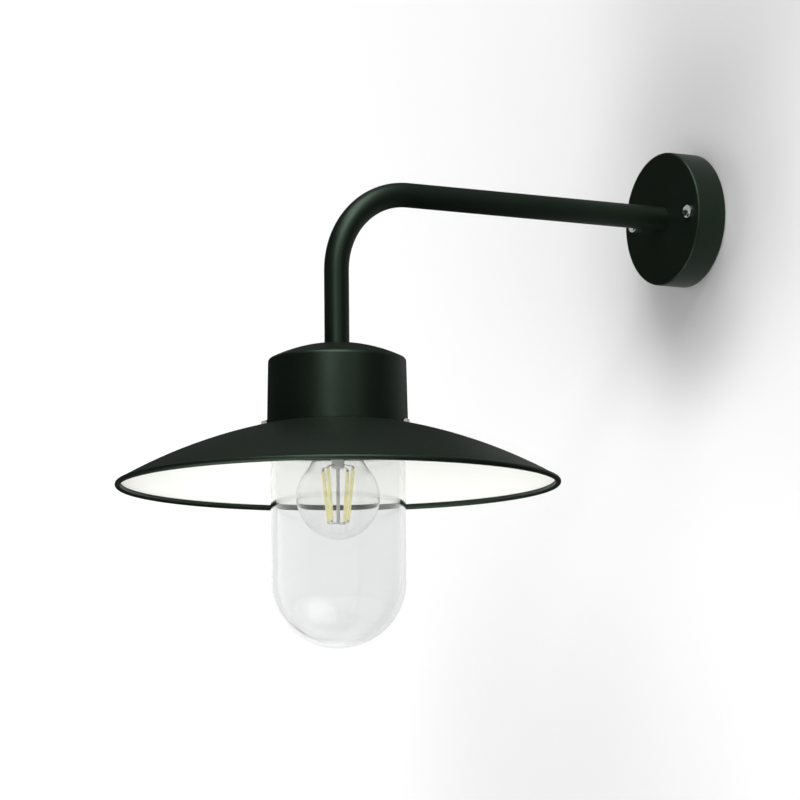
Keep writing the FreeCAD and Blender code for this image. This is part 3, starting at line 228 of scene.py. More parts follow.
@dataclass(frozen=True)
class Finish:
    """One real finish: its colours, gloss and surface pattern, with sizes in millimetres."""

    name: str
    light: str
    dark: str
    roughness: float
    swing: float
    grain_mm: float
    relief_mm: float
    patch_mm: float = 60.0
    grain: Grain = Grain.PEEL
    metallic: float = 0.0
    ior: float = 1.5
    transmission: float = 0.0
    coat: float = 0.0
    gloss_tint: str = "#ffffff"
    # A glow in the finish's light colour; the phosphor's glow is painted light.
    glow: float = 0.0

    def build(self) -> Material:
        """Make the material.

        Returns:
            A node material with patches of tone, a change of gloss and a fine relief.
        """
        material, tree = shader(self.name)
        place = add(tree, "ShaderNodeTexCoord").outputs["Object"]
        worked = add(tree, "ShaderNodeMapping", {"Vector": place, "Scale": self.grain.value})
        fine = add(tree, "ShaderNodeTexNoise", {"Vector": worked, "Scale": 1.0 / (self.grain_mm * MM),
                                                "Detail": 3.0, "Roughness": 0.55})
        patches = add(tree, "ShaderNodeTexNoise", {"Vector": place, "Scale": 1.0 / (self.patch_mm * MM),
                                                   "Detail": 4.0})
        tone = add(tree, "ShaderNodeMix", {0: ramp(tree, patches, PATCH_SPAN), 6: linear(self.dark),
                                           7: linear(self.light)}, data_type="RGBA")
        gloss = ramp(tree, maths(tree, "ADD", fine, patches), GLOSS_SPAN,
                     (self.roughness - self.swing, self.roughness + self.swing))
        relief = add(tree, "ShaderNodeBump", {"Height": fine, "Strength": 1.0,
                                              "Distance": self.relief_mm * MM})
        surface = add(tree, "ShaderNodeBsdfPrincipled", {
            "Base Color": tone.outputs[2], "Roughness": gloss, "Normal": relief, "Metallic": self.metallic,
            "IOR": self.ior, "Transmission Weight": self.transmission, "Coat Weight": self.coat,
            "Coat Roughness": 0.08, "Specular Tint": linear(self.gloss_tint),
            "Emission Color": linear(self.light), "Emission Strength": self.glow,
        })
        add(tree, "ShaderNodeOutputMaterial", {"Surface": surface})
        return material


@dataclass(frozen=True)
class Coats:
    """The finishes of the parts that are painted, enamelled or cast."""

    # Satin polyester powder on steel: near-black green whose pigment tints the gloss, with a fine orange peel
    # drawn at 2.2 mm so that it shows.
    green_powder: Finish = Finish("dark_green_powder_coat", "#080e08", "#050905", 0.45, 0.05, 2.2, 0.012,
                                  90.0, gloss_tint="#d2f7da")
    # The same powder over die-cast metal, a little coarser.
    green_casting: Finish = Finish("dark_green_powder_on_casting", "#080e08", "#050905", 0.47, 0.06, 2.6,
                                   0.02, gloss_tint="#d2f7da")
    # White powder on the inside of the shade: even, faintly glossy.
    white_enamel: Finish = Finish("white_powder_inside", "#f6f6f2", "#f0f0ea", 0.35, 0.05, 2.4, 0.01, 120.0)
    # Glazed electrical porcelain: warm white under a clear glaze.
    porcelain: Finish = Finish("glazed_porcelain", "#ece7da", "#e2dccd", 0.3, 0.05, 1.6, 0.01, 20.0, coat=0.8)


@dataclass(frozen=True)
class Metals:
    """The bare and plated metals."""

    # Bright stainless screws, turned and tumbled until they mirror the pale room.
    stainless: Finish = Finish("stainless_steel_screws", "#b0b2b0", "#8f9190", 0.0, 0.0, 0.5, 0.006, 6.0,
                               Grain.TURNED, 1.0)
    # Bright zinc plate on pressed steel, with its faint blue cast and milky patches.
    zinc: Finish = Finish("zinc_plated_steel", "#c3c8cd", "#a3aab0", 0.34, 0.09, 0.8, 0.006, 14.0,
                          Grain.DRAWN, 1.0)
    # Turned brass with the light marks of the tool.
    brass: Finish = Finish("turned_brass", "#cda24e", "#b98f40", 0.27, 0.07, 0.5, 0.005, 8.0,
                           Grain.TURNED, 1.0)
    # Nickel plate on the rolled brass of the lamp's screw shell.
    nickel: Finish = Finish("nickel_plated_brass", "#cfcac0", "#bcb7ad", 0.22, 0.06, 0.5, 0.004, 8.0,
                            Grain.TURNED, 1.0)
    # Bright drawn nickel-iron wire inside the lamp.
    wire: Finish = Finish("nickel_iron_wire", "#c9c6bf", "#b5b1a9", 0.0, 0.0, 0.4, 0.003, 5.0,
                          Grain.DRAWN, 1.0)


@dataclass(frozen=True)
class Mouldings:
    """The rubbers, plastics and the lamp's phosphor."""

    rubber: Finish = Finish("black_rubber", "#232323", "#191919", 0.62, 0.07, 1.0, 0.02, 12.0)
    silicone: Finish = Finish("clear_white_silicone", "#dcdcd6", "#cfcfc8", 0.45, 0.05, 1.2, 0.01, 12.0)
    nylon: Finish = Finish("natural_nylon", "#e7e2d3", "#dbd5c3", 0.42, 0.05, 1.2, 0.01, 14.0)
    brown_cover: Finish = Finish("brown_lead_cover", "#5f3b25", "#52321f", 0.4, 0.05, 1.0, 0.01, 9.0)
    blue_cover: Finish = Finish("blue_lead_cover", "#2f62a8", "#285594", 0.4, 0.05, 1.0, 0.01, 9.0)
    earth_cover: Finish = Finish("green_yellow_lead_cover", "#c9c33a", "#3f8a3a", 0.4, 0.05, 1.0, 0.01, 7.0)
    # Silicone loaded with yellow phosphor; its glow is painted light that brightens the filaments although
    # the lamp is off.
    phosphor: Finish = Finish("yellow_phosphor_silicone", "#f8f2b8", "#eae2a0", 0.5, 0.05, 0.7, 0.01, 3.0,
                              glow=0.4)
    board: Finish = Finish("driver_board_laminate", "#2e6b45", "#24583a", 0.45, 0.08, 0.8, 0.01, 5.0)


@dataclass(frozen=True)
class Glasses:
    """The clear, grey and black glasses."""

    # Thick pressed soda glass, fire polished: nearly clear, with a faint tone that greys what is behind it.
    pressed: Finish = Finish("pressed_jar_glass", "#f1f2f2", "#eff0f0", 0.0, 0.0, 26.0, 0.0, 60.0,
                             ior=1.52, transmission=1.0)
    # Thin blown bulb glass.
    blown: Finish = Finish("blown_lamp_glass", "#ffffff", "#fefefe", 0.0, 0.0, 30.0, 0.0, 60.0,
                           ior=1.5, transmission=1.0, gloss_tint="#707070")
    # The lamp's stem, grey pressed glass with its pinch marks.
    stem: Finish = Finish("pinched_stem_glass", "#f2f2f4", "#e4e5e8", 0.2, 0.05, 3.0, 0.05, 10.0,
                          ior=1.52, transmission=0.1)
    # Black insulating glass between the shell and the foot contact.
    black: Finish = Finish("black_insulating_glass", "#1c1a1d", "#121013", 0.14, 0.04, 1.5, 0.02, 5.0,
                           coat=0.4)


# Turned meshes

def softened(corners: list[tuple[float, ...]], steps: int = 6) -> list[Point]:
    """Round the corners of a closed outline.

    Args:
        corners: (radius, height) or (radius, height, rounding) for each corner, in millimetres.
        steps: how many straight pieces make one rounding.

    Returns:
        The outline's points, in the same order.
    """
    points: list[Point] = []
    for index, corner in enumerate(corners):
        here = Vector(corner[:2])
        if len(corner) == 2:
            points.append((here.x, here.y))
            continue
        before = (Vector(corners[index - 1][:2]) - here).normalized()
        after = (Vector(corners[(index + 1) % len(corners)][:2]) - here).normalized()
        half = before.angle(after) / 2.0
        reach = corner[2] / math.tan(half)
        centre = here + (before + after).normalized() * (corner[2] / math.sin(half))
        first = here + before * reach - centre
        last = here + after * reach - centre
        sweep = first.angle_signed(last)
        for step in range(steps + 1):
            spoke = first.copy()
            spoke.rotate(Matrix.Rotation(-sweep * step / steps, 2))
            points.append((centre.x + spoke.x, centre.y + spoke.y))
    return points


def spread(first: float, last: float, steps: int) -> list[float]:
    """Give evenly spaced values from first to last, both included."""
    return [first + (last - first) * i / steps for i in range(steps + 1)]


def arc(centre: Point, radius: float, start: float, end: float, steps: int) -> list[Point]:
    """Sample an arc, both ends included; the angles are in degrees."""
    angles = [math.radians(angle) for angle in spread(start, end, steps)]
    return [(centre[0] + radius * math.cos(a), centre[1] + radius * math.sin(a)) for a in angles]


def on_axis(outline: list[Point]) -> list[Point]:
    """Put the first and the last point exactly on the turning axis."""
    return [(0.0, outline[0][1]), *outline[1:-1], (0.0, outline[-1][1])]


def turned(name: str, outline: list[Point], place: Matrix, materials: list[Material],
           sides: int = 160, inner_from: int | None = None) -> Object:
    """Turn a closed outline once round its axis.

    Args:
        name: the piece's name.
        outline: (radius, height) points in millimetres; a radius of zero is a pole.
        place: the transform from the turning axis to the wall's frame.
        materials: the outer finish and, if there are two, the inner one.
        sides: how many flats make a full turn.
        inner_from: the outline's point from which the second finish is used.

    Returns:
        The finished object.
    """
    shell = bmesh.new()
    rings: list[list[bmesh.types.BMVert]] = []
    for radius, height in outline:
        count = 1 if radius < POLE else sides
        angles = [FULL_TURN * i / sides for i in range(count)]
        rings.append([shell.verts.new((radius * MM * math.cos(a), radius * MM * math.sin(a), height * MM))
                      for a in angles])
    for index, ring in enumerate(rings):
        after = rings[(index + 1) % len(rings)]
        if len(ring) == 1 and len(after) == 1:
            continue
        for side in range(sides):
            turn = (side + 1) % sides
            corners = [ring[side % len(ring)], ring[turn % len(ring)], after[turn % len(after)],
                       after[side % len(after)]]
            face = shell.faces.new(list(dict.fromkeys(corners)))
            face.material_index = 1 if inner_from is not None and index >= inner_from else 0
    bmesh.ops.remove_doubles(shell, verts=shell.verts, dist=TURNED_WELD)
    bmesh.ops.recalc_face_normals(shell, faces=shell.faces)
    shell.transform(place)
    mesh = bpy.data.meshes.new(name)
    shell.to_mesh(mesh)
    shell.free()
    return finished(name, mesh, materials)


def finished(name: str, mesh: Mesh, materials: list[Material]) -> Object:
    """Shade a mesh smoothly up to a crease angle and put it in the scene.

    Args:
        name: the piece's name.
        mesh: its mesh, already in the wall's frame.
        materials: its materials, in the order of the faces' numbers; none keeps the mesh's own.

    Returns:
        The object.
    """
    mesh.shade_smooth()
    mesh.set_sharp_from_angle(angle=CREASE)
    if materials:
        # Emptying the list sets every face back to the first material, so a list without any isn't emptied.
        if mesh.materials:
            mesh.materials.clear()
        for material in materials:
            mesh.materials.append(material)
    return in_scene(name, mesh)


def baked(piece: Object) -> Mesh:
    """Turn an object with its modifiers into a plain mesh and remove the object.

    Args:
        piece: the object to bake.

    Returns:
        The new mesh.
    """
    graph = bpy.context.evaluated_depsgraph_get()
    mesh = bpy.data.meshes.new_from_object(piece.evaluated_get(graph), depsgraph=graph)
    bpy.data.objects.remove(piece)
    return mesh


def walled(piece: Object, wall_mm: float) -> Object:
    """Give a single skin its wall, inwards from its faces.

    Args:
        piece: the skin.
        wall_mm: the wall's thickness.

    Returns:
        The walled piece, with the same name.
    """
    name = piece.name
    solidify = piece.modifiers.new("wall", "SOLIDIFY")
    solidify.thickness = wall_mm * MM
    solidify.offset = -1.0
    return finished(name, baked(piece), [])


# Geometry Nodes trees

def new_tree(name: str, inputs: dict[str, str]) -> tuple[NodeTree, Node]:
    """Start a Geometry Nodes tree with named inputs.

    Args:
        name: the tree's name.
        inputs: the kind of socket for each input's name.

    Returns:
        The tree and its input node.
    """
    tree = bpy.data.node_groups.new(name, "GeometryNodeTree")
    for title, kind in {**inputs, "Finish": "Material"}.items():
        tree.interface.new_socket(name=title, in_out="INPUT", socket_type="NodeSocket" + kind)
    tree.interface.new_socket(name="Geometry", in_out="OUTPUT", socket_type="NodeSocketGeometry")
    return tree, add(tree, "NodeGroupInput")


def close_tree(tree: NodeTree, given: Node, shape: Node) -> NodeTree:
    """End a tree in real geometry with its finish.

    Args:
        tree: the tree.
        given: its input node.
        shape: the node whose first output is the shape.

    Returns:
        The tree.
    """
    real = add(tree, "GeometryNodeRealizeInstances", {"Geometry": shape})
    coated = add(tree, "GeometryNodeSetMaterial", {"Geometry": real, "Material": given.outputs["Finish"]})
    add(tree, "NodeGroupOutput", {"Geometry": coated})
    return tree


def grown(tree: NodeTree, name: str, values: dict[str, Any]) -> Object:
    """Run a tree once and keep its result as a plain mesh.

    Args:
        tree: the Geometry Nodes tree.
        name: the piece's name.
        values: a value for each named input.

    Returns:
        The finished object.
    """
    seed = in_scene(name + "_seed", bpy.data.meshes.new(name + "_seed"))
    modifier = seed.modifiers.new("grow", "NODES")
    modifier.node_group = tree
    for item in tree.interface.items_tree:
        if item.item_type == "SOCKET" and item.in_out == "INPUT":
            modifier[item.identifier] = values[item.name]
    return finished(name, baked(seed), [])


def ring_angle(tree: NodeTree, got: bpy.types.NodeOutputs) -> NodeSocket:
    """Give each member of a ring its angle, from the outputs Count and First angle."""
    step = maths(tree, "DIVIDE", FULL_TURN, got["Count"])
    return maths(tree, "MULTIPLY_ADD", add(tree, "GeometryNodeInputIndex"), step, got["First angle"])


def round_axis(tree: NodeTree, angle: NodeSocket,
               radius: NodeSocket) -> tuple[NodeSocket, NodeSocket]:
    """Turn an angle and a radius into x and y."""
    return (maths(tree, "MULTIPLY", maths(tree, "COSINE", angle), radius),
            maths(tree, "MULTIPLY", maths(tree, "SINE", angle), radius))


def fastener_ring_tree() -> NodeTree:
    """A ring of equal fasteners, each leaning outwards and turned by chance about its own axis.

    Returns:
        The tree.
    """
    tree, given = new_tree("fastener_ring", {
        "Fastener": "Object", "Count": "Int", "Circle radius": "Float", "First angle": "Float",
        "Lean": "Float", "Lift": "Float", "Chance turn": "Float", "Seed": "Int"})
    got = given.outputs
    angle = ring_angle(tree, got)
    x, y = round_axis(tree, angle, got["Circle radius"])
    points = add(tree, "GeometryNodePoints", {"Count": got["Count"],
                                              "Position": xyz(tree, x=x, y=y, z=got["Lift"])})
    turn = add(tree, "FunctionNodeEulerToRotation", {0: xyz(tree, y=got["Lean"], z=angle)})
    fastener = add(tree, "GeometryNodeObjectInfo", {"Object": got["Fastener"]})
    placed = add(tree, "GeometryNodeInstanceOnPoints", {
        "Points": points, "Instance": fastener.outputs["Geometry"], "Rotation": turn})
    chance = add(tree, "FunctionNodeRandomValue", {3: got["Chance turn"], "Seed": got["Seed"]})
    spin = add(tree, "FunctionNodeEulerToRotation", {0: xyz(tree, z=chance.outputs[1])})
    spun = add(tree, "GeometryNodeRotateInstances", {"Instances": placed, "Rotation": spin})
    return close_tree(tree, given, spun)


def bent_tube_tree() -> NodeTree:
    """A round tube that runs out from the wall, turns down through one bend and ends below.

    Returns:
        The tree.
    """
    tree, given = new_tree("bent_tube", {
        "Start": "Float", "Reach": "Float", "Drop": "Float", "Bend radius": "Float", "Tube radius": "Float",
        "Bend steps": "Int", "Sides": "Int"})
    got = given.outputs
    index = add(tree, "GeometryNodeInputIndex")
    out = maths(tree, "MINIMUM", index, 1.0)
    down = maths(tree, "MAXIMUM", maths(tree, "SUBTRACT", index, 1.0), 0.0)
    run = maths(tree, "SUBTRACT", got["Start"], got["Reach"])
    y = maths(tree, "MULTIPLY_ADD", out, run, maths(tree, "MULTIPLY", got["Start"], -1.0))
    z = maths(tree, "MULTIPLY", down, maths(tree, "MULTIPLY", got["Drop"], -1.0))
    corners = add(tree, "GeometryNodePoints", {"Count": 3, "Position": xyz(tree, y=y, z=z)})
    line = add(tree, "GeometryNodePointsToCurves", {"Points": corners})
    bend = add(tree, "GeometryNodeFilletCurve", {"Curve": line, "Count": got["Bend steps"],
                                                 "Radius": got["Bend radius"]}, mode="POLY")
    section = add(tree, "GeometryNodeCurvePrimitiveCircle", {"Resolution": got["Sides"],
                                                             "Radius": got["Tube radius"]})
    skin = add(tree, "GeometryNodeCurveToMesh", {"Curve": bend, "Profile Curve": section})
    return close_tree(tree, given, skin)


def rolled_thread_tree() -> NodeTree:
    """A screw shell rolled from sheet: a sleeve whose radius rises and falls along one helix.

    Returns:
        The tree.
    """
    tree, given = new_tree("rolled_thread", {
        "Crest radius": "Float", "Depth": "Float", "Pitch": "Float", "Top": "Float", "Length": "Float",
        "Shoulder radius": "Float", "Shoulder length": "Float", "Plain end": "Float"})
    got = given.outputs
    sheet = add(tree, "GeometryNodeMeshGrid", {"Size X": 1.0, "Size Y": 1.0, "Vertices X": 97,
                                               "Vertices Y": 145})
    at = add(tree, "ShaderNodeSeparateXYZ", {0: add(tree, "GeometryNodeInputPosition")})
    angle = maths(tree, "MULTIPLY", at.outputs["X"], FULL_TURN)
    fall = maths(tree, "MULTIPLY", maths(tree, "ADD", at.outputs["Y"], 0.5), got["Length"])
    height = maths(tree, "SUBTRACT", got["Top"], fall)
    left = maths(tree, "SUBTRACT", got["Length"], fall)
    phase = maths(tree, "MULTIPLY_ADD", maths(tree, "DIVIDE", height, got["Pitch"]), -FULL_TURN, angle)
    wave = maths(tree, "MULTIPLY_ADD", maths(tree, "COSINE", phase), 0.5, -0.5)
    fade = maths(tree, "MULTIPLY", ramp(tree, fall, (got["Shoulder length"], got["Plain end"])),
                 ramp(tree, left, (PLAIN_RIM, got["Plain end"])))
    dip = maths(tree, "MULTIPLY", maths(tree, "MULTIPLY", wave, got["Depth"]), fade)
    body = ramp(tree, fall, (0.0, got["Shoulder length"]), (got["Shoulder radius"], got["Crest radius"]),
                "SMOOTHSTEP")
    x, y = round_axis(tree, angle, maths(tree, "ADD", body, dip))
    rolled = add(tree, "GeometryNodeSetPosition", {"Geometry": sheet,
                                                   "Position": xyz(tree, x=x, y=y, z=height)})
    seamed = add(tree, "GeometryNodeMergeByDistance", {"Geometry": rolled, "Distance": SEAM_GAP})
    return close_tree(tree, given, seamed)


def rod_ring_tree() -> NodeTree:
    """Equal straight rods round an axis, each with small bumps along it.

    Returns:
        The tree.
    """
    tree, given = new_tree("rod_ring", {
        "From": "Vector", "To": "Vector", "Rod radius": "Float", "Bump height": "Float",
        "Bump spacing": "Float", "Count": "Int", "First angle": "Float"})
    got = given.outputs
    line = add(tree, "GeometryNodeCurvePrimitiveLine", {"Start": got["From"], "End": got["To"]})
    fine = add(tree, "GeometryNodeResampleCurve", {"Curve": line, "Count": 160})
    section = add(tree, "GeometryNodeCurvePrimitiveCircle", {"Resolution": 20, "Radius": got["Rod radius"]})
    rod = add(tree, "GeometryNodeCurveToMesh", {"Curve": fine, "Profile Curve": section, "Fill Caps": True})
    at = add(tree, "ShaderNodeSeparateXYZ", {0: add(tree, "GeometryNodeInputPosition")})
    phase = maths(tree, "MULTIPLY", maths(tree, "DIVIDE", at.outputs["Z"], got["Bump spacing"]), FULL_TURN)
    swell = maths(tree, "MULTIPLY", maths(tree, "COSINE", phase), got["Bump height"])
    push = add(tree, "ShaderNodeVectorMath", {0: add(tree, "GeometryNodeInputNormal"), "Scale": swell},
               operation="SCALE")
    bumpy = add(tree, "GeometryNodeSetPosition", {"Geometry": rod, "Offset": push})
    spots = add(tree, "GeometryNodePoints", {"Count": got["Count"]})
    turn = add(tree, "FunctionNodeEulerToRotation", {0: xyz(tree, z=ring_angle(tree, got))})
    placed = add(tree, "GeometryNodeInstanceOnPoints", {"Points": spots, "Instance": bumpy, "Rotation": turn})
    return close_tree(tree, given, placed)


# Workshop and fittings

@dataclass
class Workshop:
    """The trees and the materials that the sub-assemblies share, each made once."""

    ring: NodeTree = field(default_factory=fastener_ring_tree)
    tube: NodeTree = field(default_factory=bent_tube_tree)
    thread: NodeTree = field(default_factory=rolled_thread_tree)
    rods: NodeTree = field(default_factory=rod_ring_tree)
    made: dict[str, Material] = field(default_factory=dict)

    def of(self, finish: Finish) -> Material:
        """Give the material of a finish, made when it is first asked for."""
        if finish.name not in self.made:
            self.made[finish.name] = finish.build()
        return self.made[finish.name]


def fit(piece: Object, body: str, slot: str, *nodes: str) -> Object:
    """Hang a piece on its body and hide the solids that it replaces.

    Args:
        piece: the finished object.
        body: the body that it moves with.
        slot: not used.
        nodes: the solids that it replaces.

    Returns:
        The piece.
    """
    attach(piece, body)
    if nodes:
        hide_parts(*nodes)
    log.info("%s: %d faces on %s", piece.name, len(piece.data.polygons), body)
    return piece


@dataclass(frozen=True)
class ScrewRing:
    """Equal pan-head screws on one circle, in millimetres, degrees and shares of the head's sizes."""

    head_radius: float
    head_height: float
    shank_radius: float
    length: float
    count: int
    circle: float
    first: float
    seed: int
    heads_down: bool = False
    side_share: float = 0.62
    crown_radius_share: float = 0.72
    crown_height_share: float = 0.96
    rounding_share: float = 0.3
    slot_length_share: float = 0.98
    slot_width_share: float = 0.24
    slot_foot_share: float = 0.55
    slot_depth_share: float = 1.4
    slot_place_share: float = 1.1

    def cross_bit(self) -> Object:
        """Make the tool of the cross recess.

        Returns:
            Two crossed wedges over the origin.
        """
        cutter = bmesh.new()
        for turn in (0.0, math.pi / 2.0):
            slot = bmesh.ops.create_cube(cutter, size=1.0)["verts"]
            for vert in slot:
                taper = 1.0 if vert.co.z > 0 else self.slot_foot_share
                vert.co = Vector((vert.co.x * self.head_radius * self.slot_length_share * taper,
                                  vert.co.y * self.head_radius * self.slot_width_share * taper,
                                  vert.co.z * self.head_height * self.slot_depth_share
                                  + self.head_height * self.slot_place_share))
            bmesh.ops.rotate(cutter, cent=(0, 0, 0), matrix=Matrix.Rotation(turn, 3, "Z"), verts=slot)
        bmesh.ops.scale(cutter, vec=(MM, MM, MM), verts=cutter.verts)
        mesh = bpy.data.meshes.new("cross_bit")
        cutter.to_mesh(mesh)
        cutter.free()
        return in_scene("cross_bit", mesh)

    def screw(self, steel: Material) -> Object:
        """Make one screw, seated at z = 0.

        Args:
            steel: its material.

        Returns:
            The screw as an object at the origin.
        """
        rounding = self.head_height * self.rounding_share
        outline = softened([
            (0.0, -self.length), (self.shank_radius, -self.length, self.shank_radius * self.rounding_share),
            (self.shank_radius, 0.0), (self.head_radius, 0.0),
            (self.head_radius, self.head_height * self.side_share, rounding),
            (self.head_radius * self.crown_radius_share, self.head_height * self.crown_height_share,
             rounding),
            (0.0, self.head_height)], 4)
        head = turned("pan_screw", outline, Matrix.Identity(4), [steel], 48)
        bit = self.cross_bit()
        recess = head.modifiers.new("recess", "BOOLEAN")
        recess.object = bit
        recess.solver = "EXACT"
        recess.use_self = True
        screw = finished("pan_screw", baked(head), [])
        bpy.data.objects.remove(bit)
        if self.heads_down:
            screw.data.transform(Matrix.Rotation(math.pi, 4, "X"))
        return screw

    def build(self, shop: Workshop, name: str, node: str, place: Matrix, lift: float,
              lean: float = 0.0) -> None:
        """Set the screws in place and fit them.

        Args:
            shop: the shared trees and materials.
            name: the piece's name.
            node: the solids that it stands for.
            place: the transform from the ring's axis to the wall's frame.
            lift: the height of the screws' seats in millimetres.
            lean: how far they lean outwards, in degrees.
        """
        steel = shop.of(Metals.stainless)
        screw = self.screw(steel)
        ring = grown(shop.ring, name, {
            "Fastener": screw, "Count": self.count, "Circle radius": self.circle * MM,
            "First angle": math.radians(self.first), "Lean": math.radians(lean), "Lift": lift * MM,
            "Chance turn": FULL_TURN, "Seed": self.seed, "Finish": steel})
        ring.data.transform(place)
        bpy.data.objects.remove(screw)
        fit(ring, "fixture", "stainless", node)


@dataclass(frozen=True)
class ScrewShell:
    """A rolled screw shell; sizes in millimetres."""

    crest: float
    depth: float
    top: float
    length: float
    shoulder: float
    shoulder_length: float
    plain_end: float
    sheet: float
    pitch: float = 3.629

    def build(self, shop: Workshop, name: str, body: str, node: str) -> None:
        """Roll the shell, give it its wall and fit it.

        Args:
            shop: the shared trees and materials.
            name: the name of its skin.
            body: the body that it moves with.
            node: the solid that it replaces.
        """
        skin = grown(shop.thread, name, {
            "Crest radius": self.crest * MM, "Depth": self.depth * MM, "Pitch": self.pitch * MM,
            "Top": self.top * MM, "Length": self.length * MM, "Shoulder radius": self.shoulder * MM,
            "Shoulder length": self.shoulder_length * MM, "Plain end": self.plain_end * MM,
            "Finish": shop.of(Metals.nickel)})
        skin.data.transform(LEVELS.lamp_place)
        fit(walled(skin, self.sheet), body, "nickel", node)


# Sub-assemblies

@dataclass
class SubAssembly:
    """Pieces that are made together; sizes in millimetres, heights on the lamp's axis."""

    shop: Workshop

    def turn(self, name: str, outline: list[Point], finish: Finish, sides: int, body: str, slot: str,
             node: str) -> None:
        """Turn one piece round the lamp's axis, hang it on its body and hide the solid that it replaces."""
        fit(turned(name, outline, LEVELS.lamp_place, [self.shop.of(finish)], sides), body, slot, node)


class Look(Enum):
    """How a solid of the frame is shown."""

    AS_BUILT = "as built"
    SMOOTHED = "smoothed copy"


@dataclass(frozen=True)
class Group:
    """Solids of the frame that share a finish, a slot, a look and a body."""

    finish: Finish
    slot: str
    look: Look
    nodes: tuple[str, ...]
    body: str = "fixture"


@dataclass
class Inner(SubAssembly):
    """The solids that keep their shape and only need their finish, or a smoothly shaded copy."""

    nodes: dict[str, Object]
    weld: float = 1e-6
    groups: tuple[Group, ...] = (
        Group(Metals.zinc, "zinc_steel", Look.SMOOTHED, (
            "wall_plate", "terminal_clamp_screws", "block_screws", "wall_nipple", "wall_washer",
            "lamp_nipple", "lamp_washer", "terminal_screws", "holder_screws", "earth_screw")),
        Group(Metals.zinc, "zinc_steel", Look.AS_BUILT, (
            "wall_nut", "lamp_nut", "strap_nut", "holder_strap")),
        Group(Metals.brass, "brass", Look.SMOOTHED, ("terminal_barrels", "holder_terminals", "earth_tag")),
        Group(Metals.brass, "brass", Look.AS_BUILT, ("centre_contact",)),
        Group(Mouldings.rubber, "black_rubber", Look.SMOOTHED, ("cable_grommet",)),
        Group(Mouldings.nylon, "nylon", Look.SMOOTHED, ("terminal_block",)),
        Group(Mouldings.brown_cover, "brown_cover", Look.SMOOTHED, ("live_lead",)),
        Group(Mouldings.blue_cover, "blue_cover", Look.SMOOTHED, ("neutral_lead",)),
        Group(Mouldings.earth_cover, "earth_cover", Look.SMOOTHED, ("earth_lead",)),
        Group(Mouldings.board, "board", Look.SMOOTHED, ("lamp_driver",), "lamp"),
    )

    def smooth_copy(self, node: str) -> Mesh:
        """Copy a solid's mesh, weld it and drop its stored normals.

        Args:
            node: the solid's name.

        Returns:
            The copy.
        """
        mesh = self.nodes[node].data.copy()
        mesh.name = node + "_smooth"
        work = bmesh.new()
        work.from_mesh(mesh)
        bmesh.ops.remove_doubles(work, verts=work.verts, dist=self.weld)
        work.to_mesh(mesh)
        work.free()
        if "custom_normal" in mesh.attributes:
            mesh.attributes.remove(mesh.attributes["custom_normal"])
        return mesh

    def build(self) -> None:
        """Show every solid of the groups."""
        for group in self.groups:
            material = self.shop.of(group.finish)
            for node in group.nodes:
                if group.look is Look.SMOOTHED:
                    piece = finished(node + "_smooth", self.smooth_copy(node), [material])
                    fit(piece, group.body, group.slot, node)
                    continue
                for holder in self.nodes[node].material_slots:
                    holder.material = material


@dataclass
class WallSide(SubAssembly):
    """The rose and its two screws."""

    radius: float = 50.0
    depth: float = 24.0
    wall: float = 1.5
    edge: float = 2.0
    rim_edge: float = 0.3
    inner_edge: float = 0.6
    hole: float = 6.7
    screws: ScrewRing = ScrewRing(5.0, 3.2, 2.5, 15.0, count=2, circle=37.0, first=0.0, seed=5)

    def build(self) -> None:
        """Make the rose and its two screws."""
        inner, under = self.radius - self.wall, self.depth - self.wall
        outline = softened([
            (self.hole, self.depth), (self.radius, self.depth, self.edge), (self.radius, 0.0, self.rim_edge),
            (inner, 0.0, self.rim_edge), (inner, under, self.inner_edge), (self.hole, under)], 8)
        rose = turned("rose_cover", outline, OUT_FROM_WALL, [self.shop.of(Coats.green_powder)])
        fit(rose, "fixture", "green_coat", "rose")
        self.screws.build(self.shop, "rose_pan_screws", "rose_screws", OUT_FROM_WALL, self.depth)


@dataclass
class Arm(SubAssembly):
    """The bent tube."""

    start: float = 24.0
    reach: float = 305.0
    drop: float = 113.4
    bend: float = 60.0
    radius: float = 9.0
    wall: float = 1.5
    bend_steps: int = 48
    sides: int = 72

    def build(self) -> None:
        """Bend the tube and give it its wall."""
        skin = grown(self.shop.tube, "bent_arm", {
            "Start": self.start * MM, "Reach": self.reach * MM, "Drop": self.drop * MM,
            "Bend radius": self.bend * MM, "Tube radius": self.radius * MM, "Bend steps": self.bend_steps,
            "Sides": self.sides, "Finish": self.shop.of(Coats.green_powder)})
        fit(walled(skin, self.wall), "fixture", "green_coat", "arm_tube")


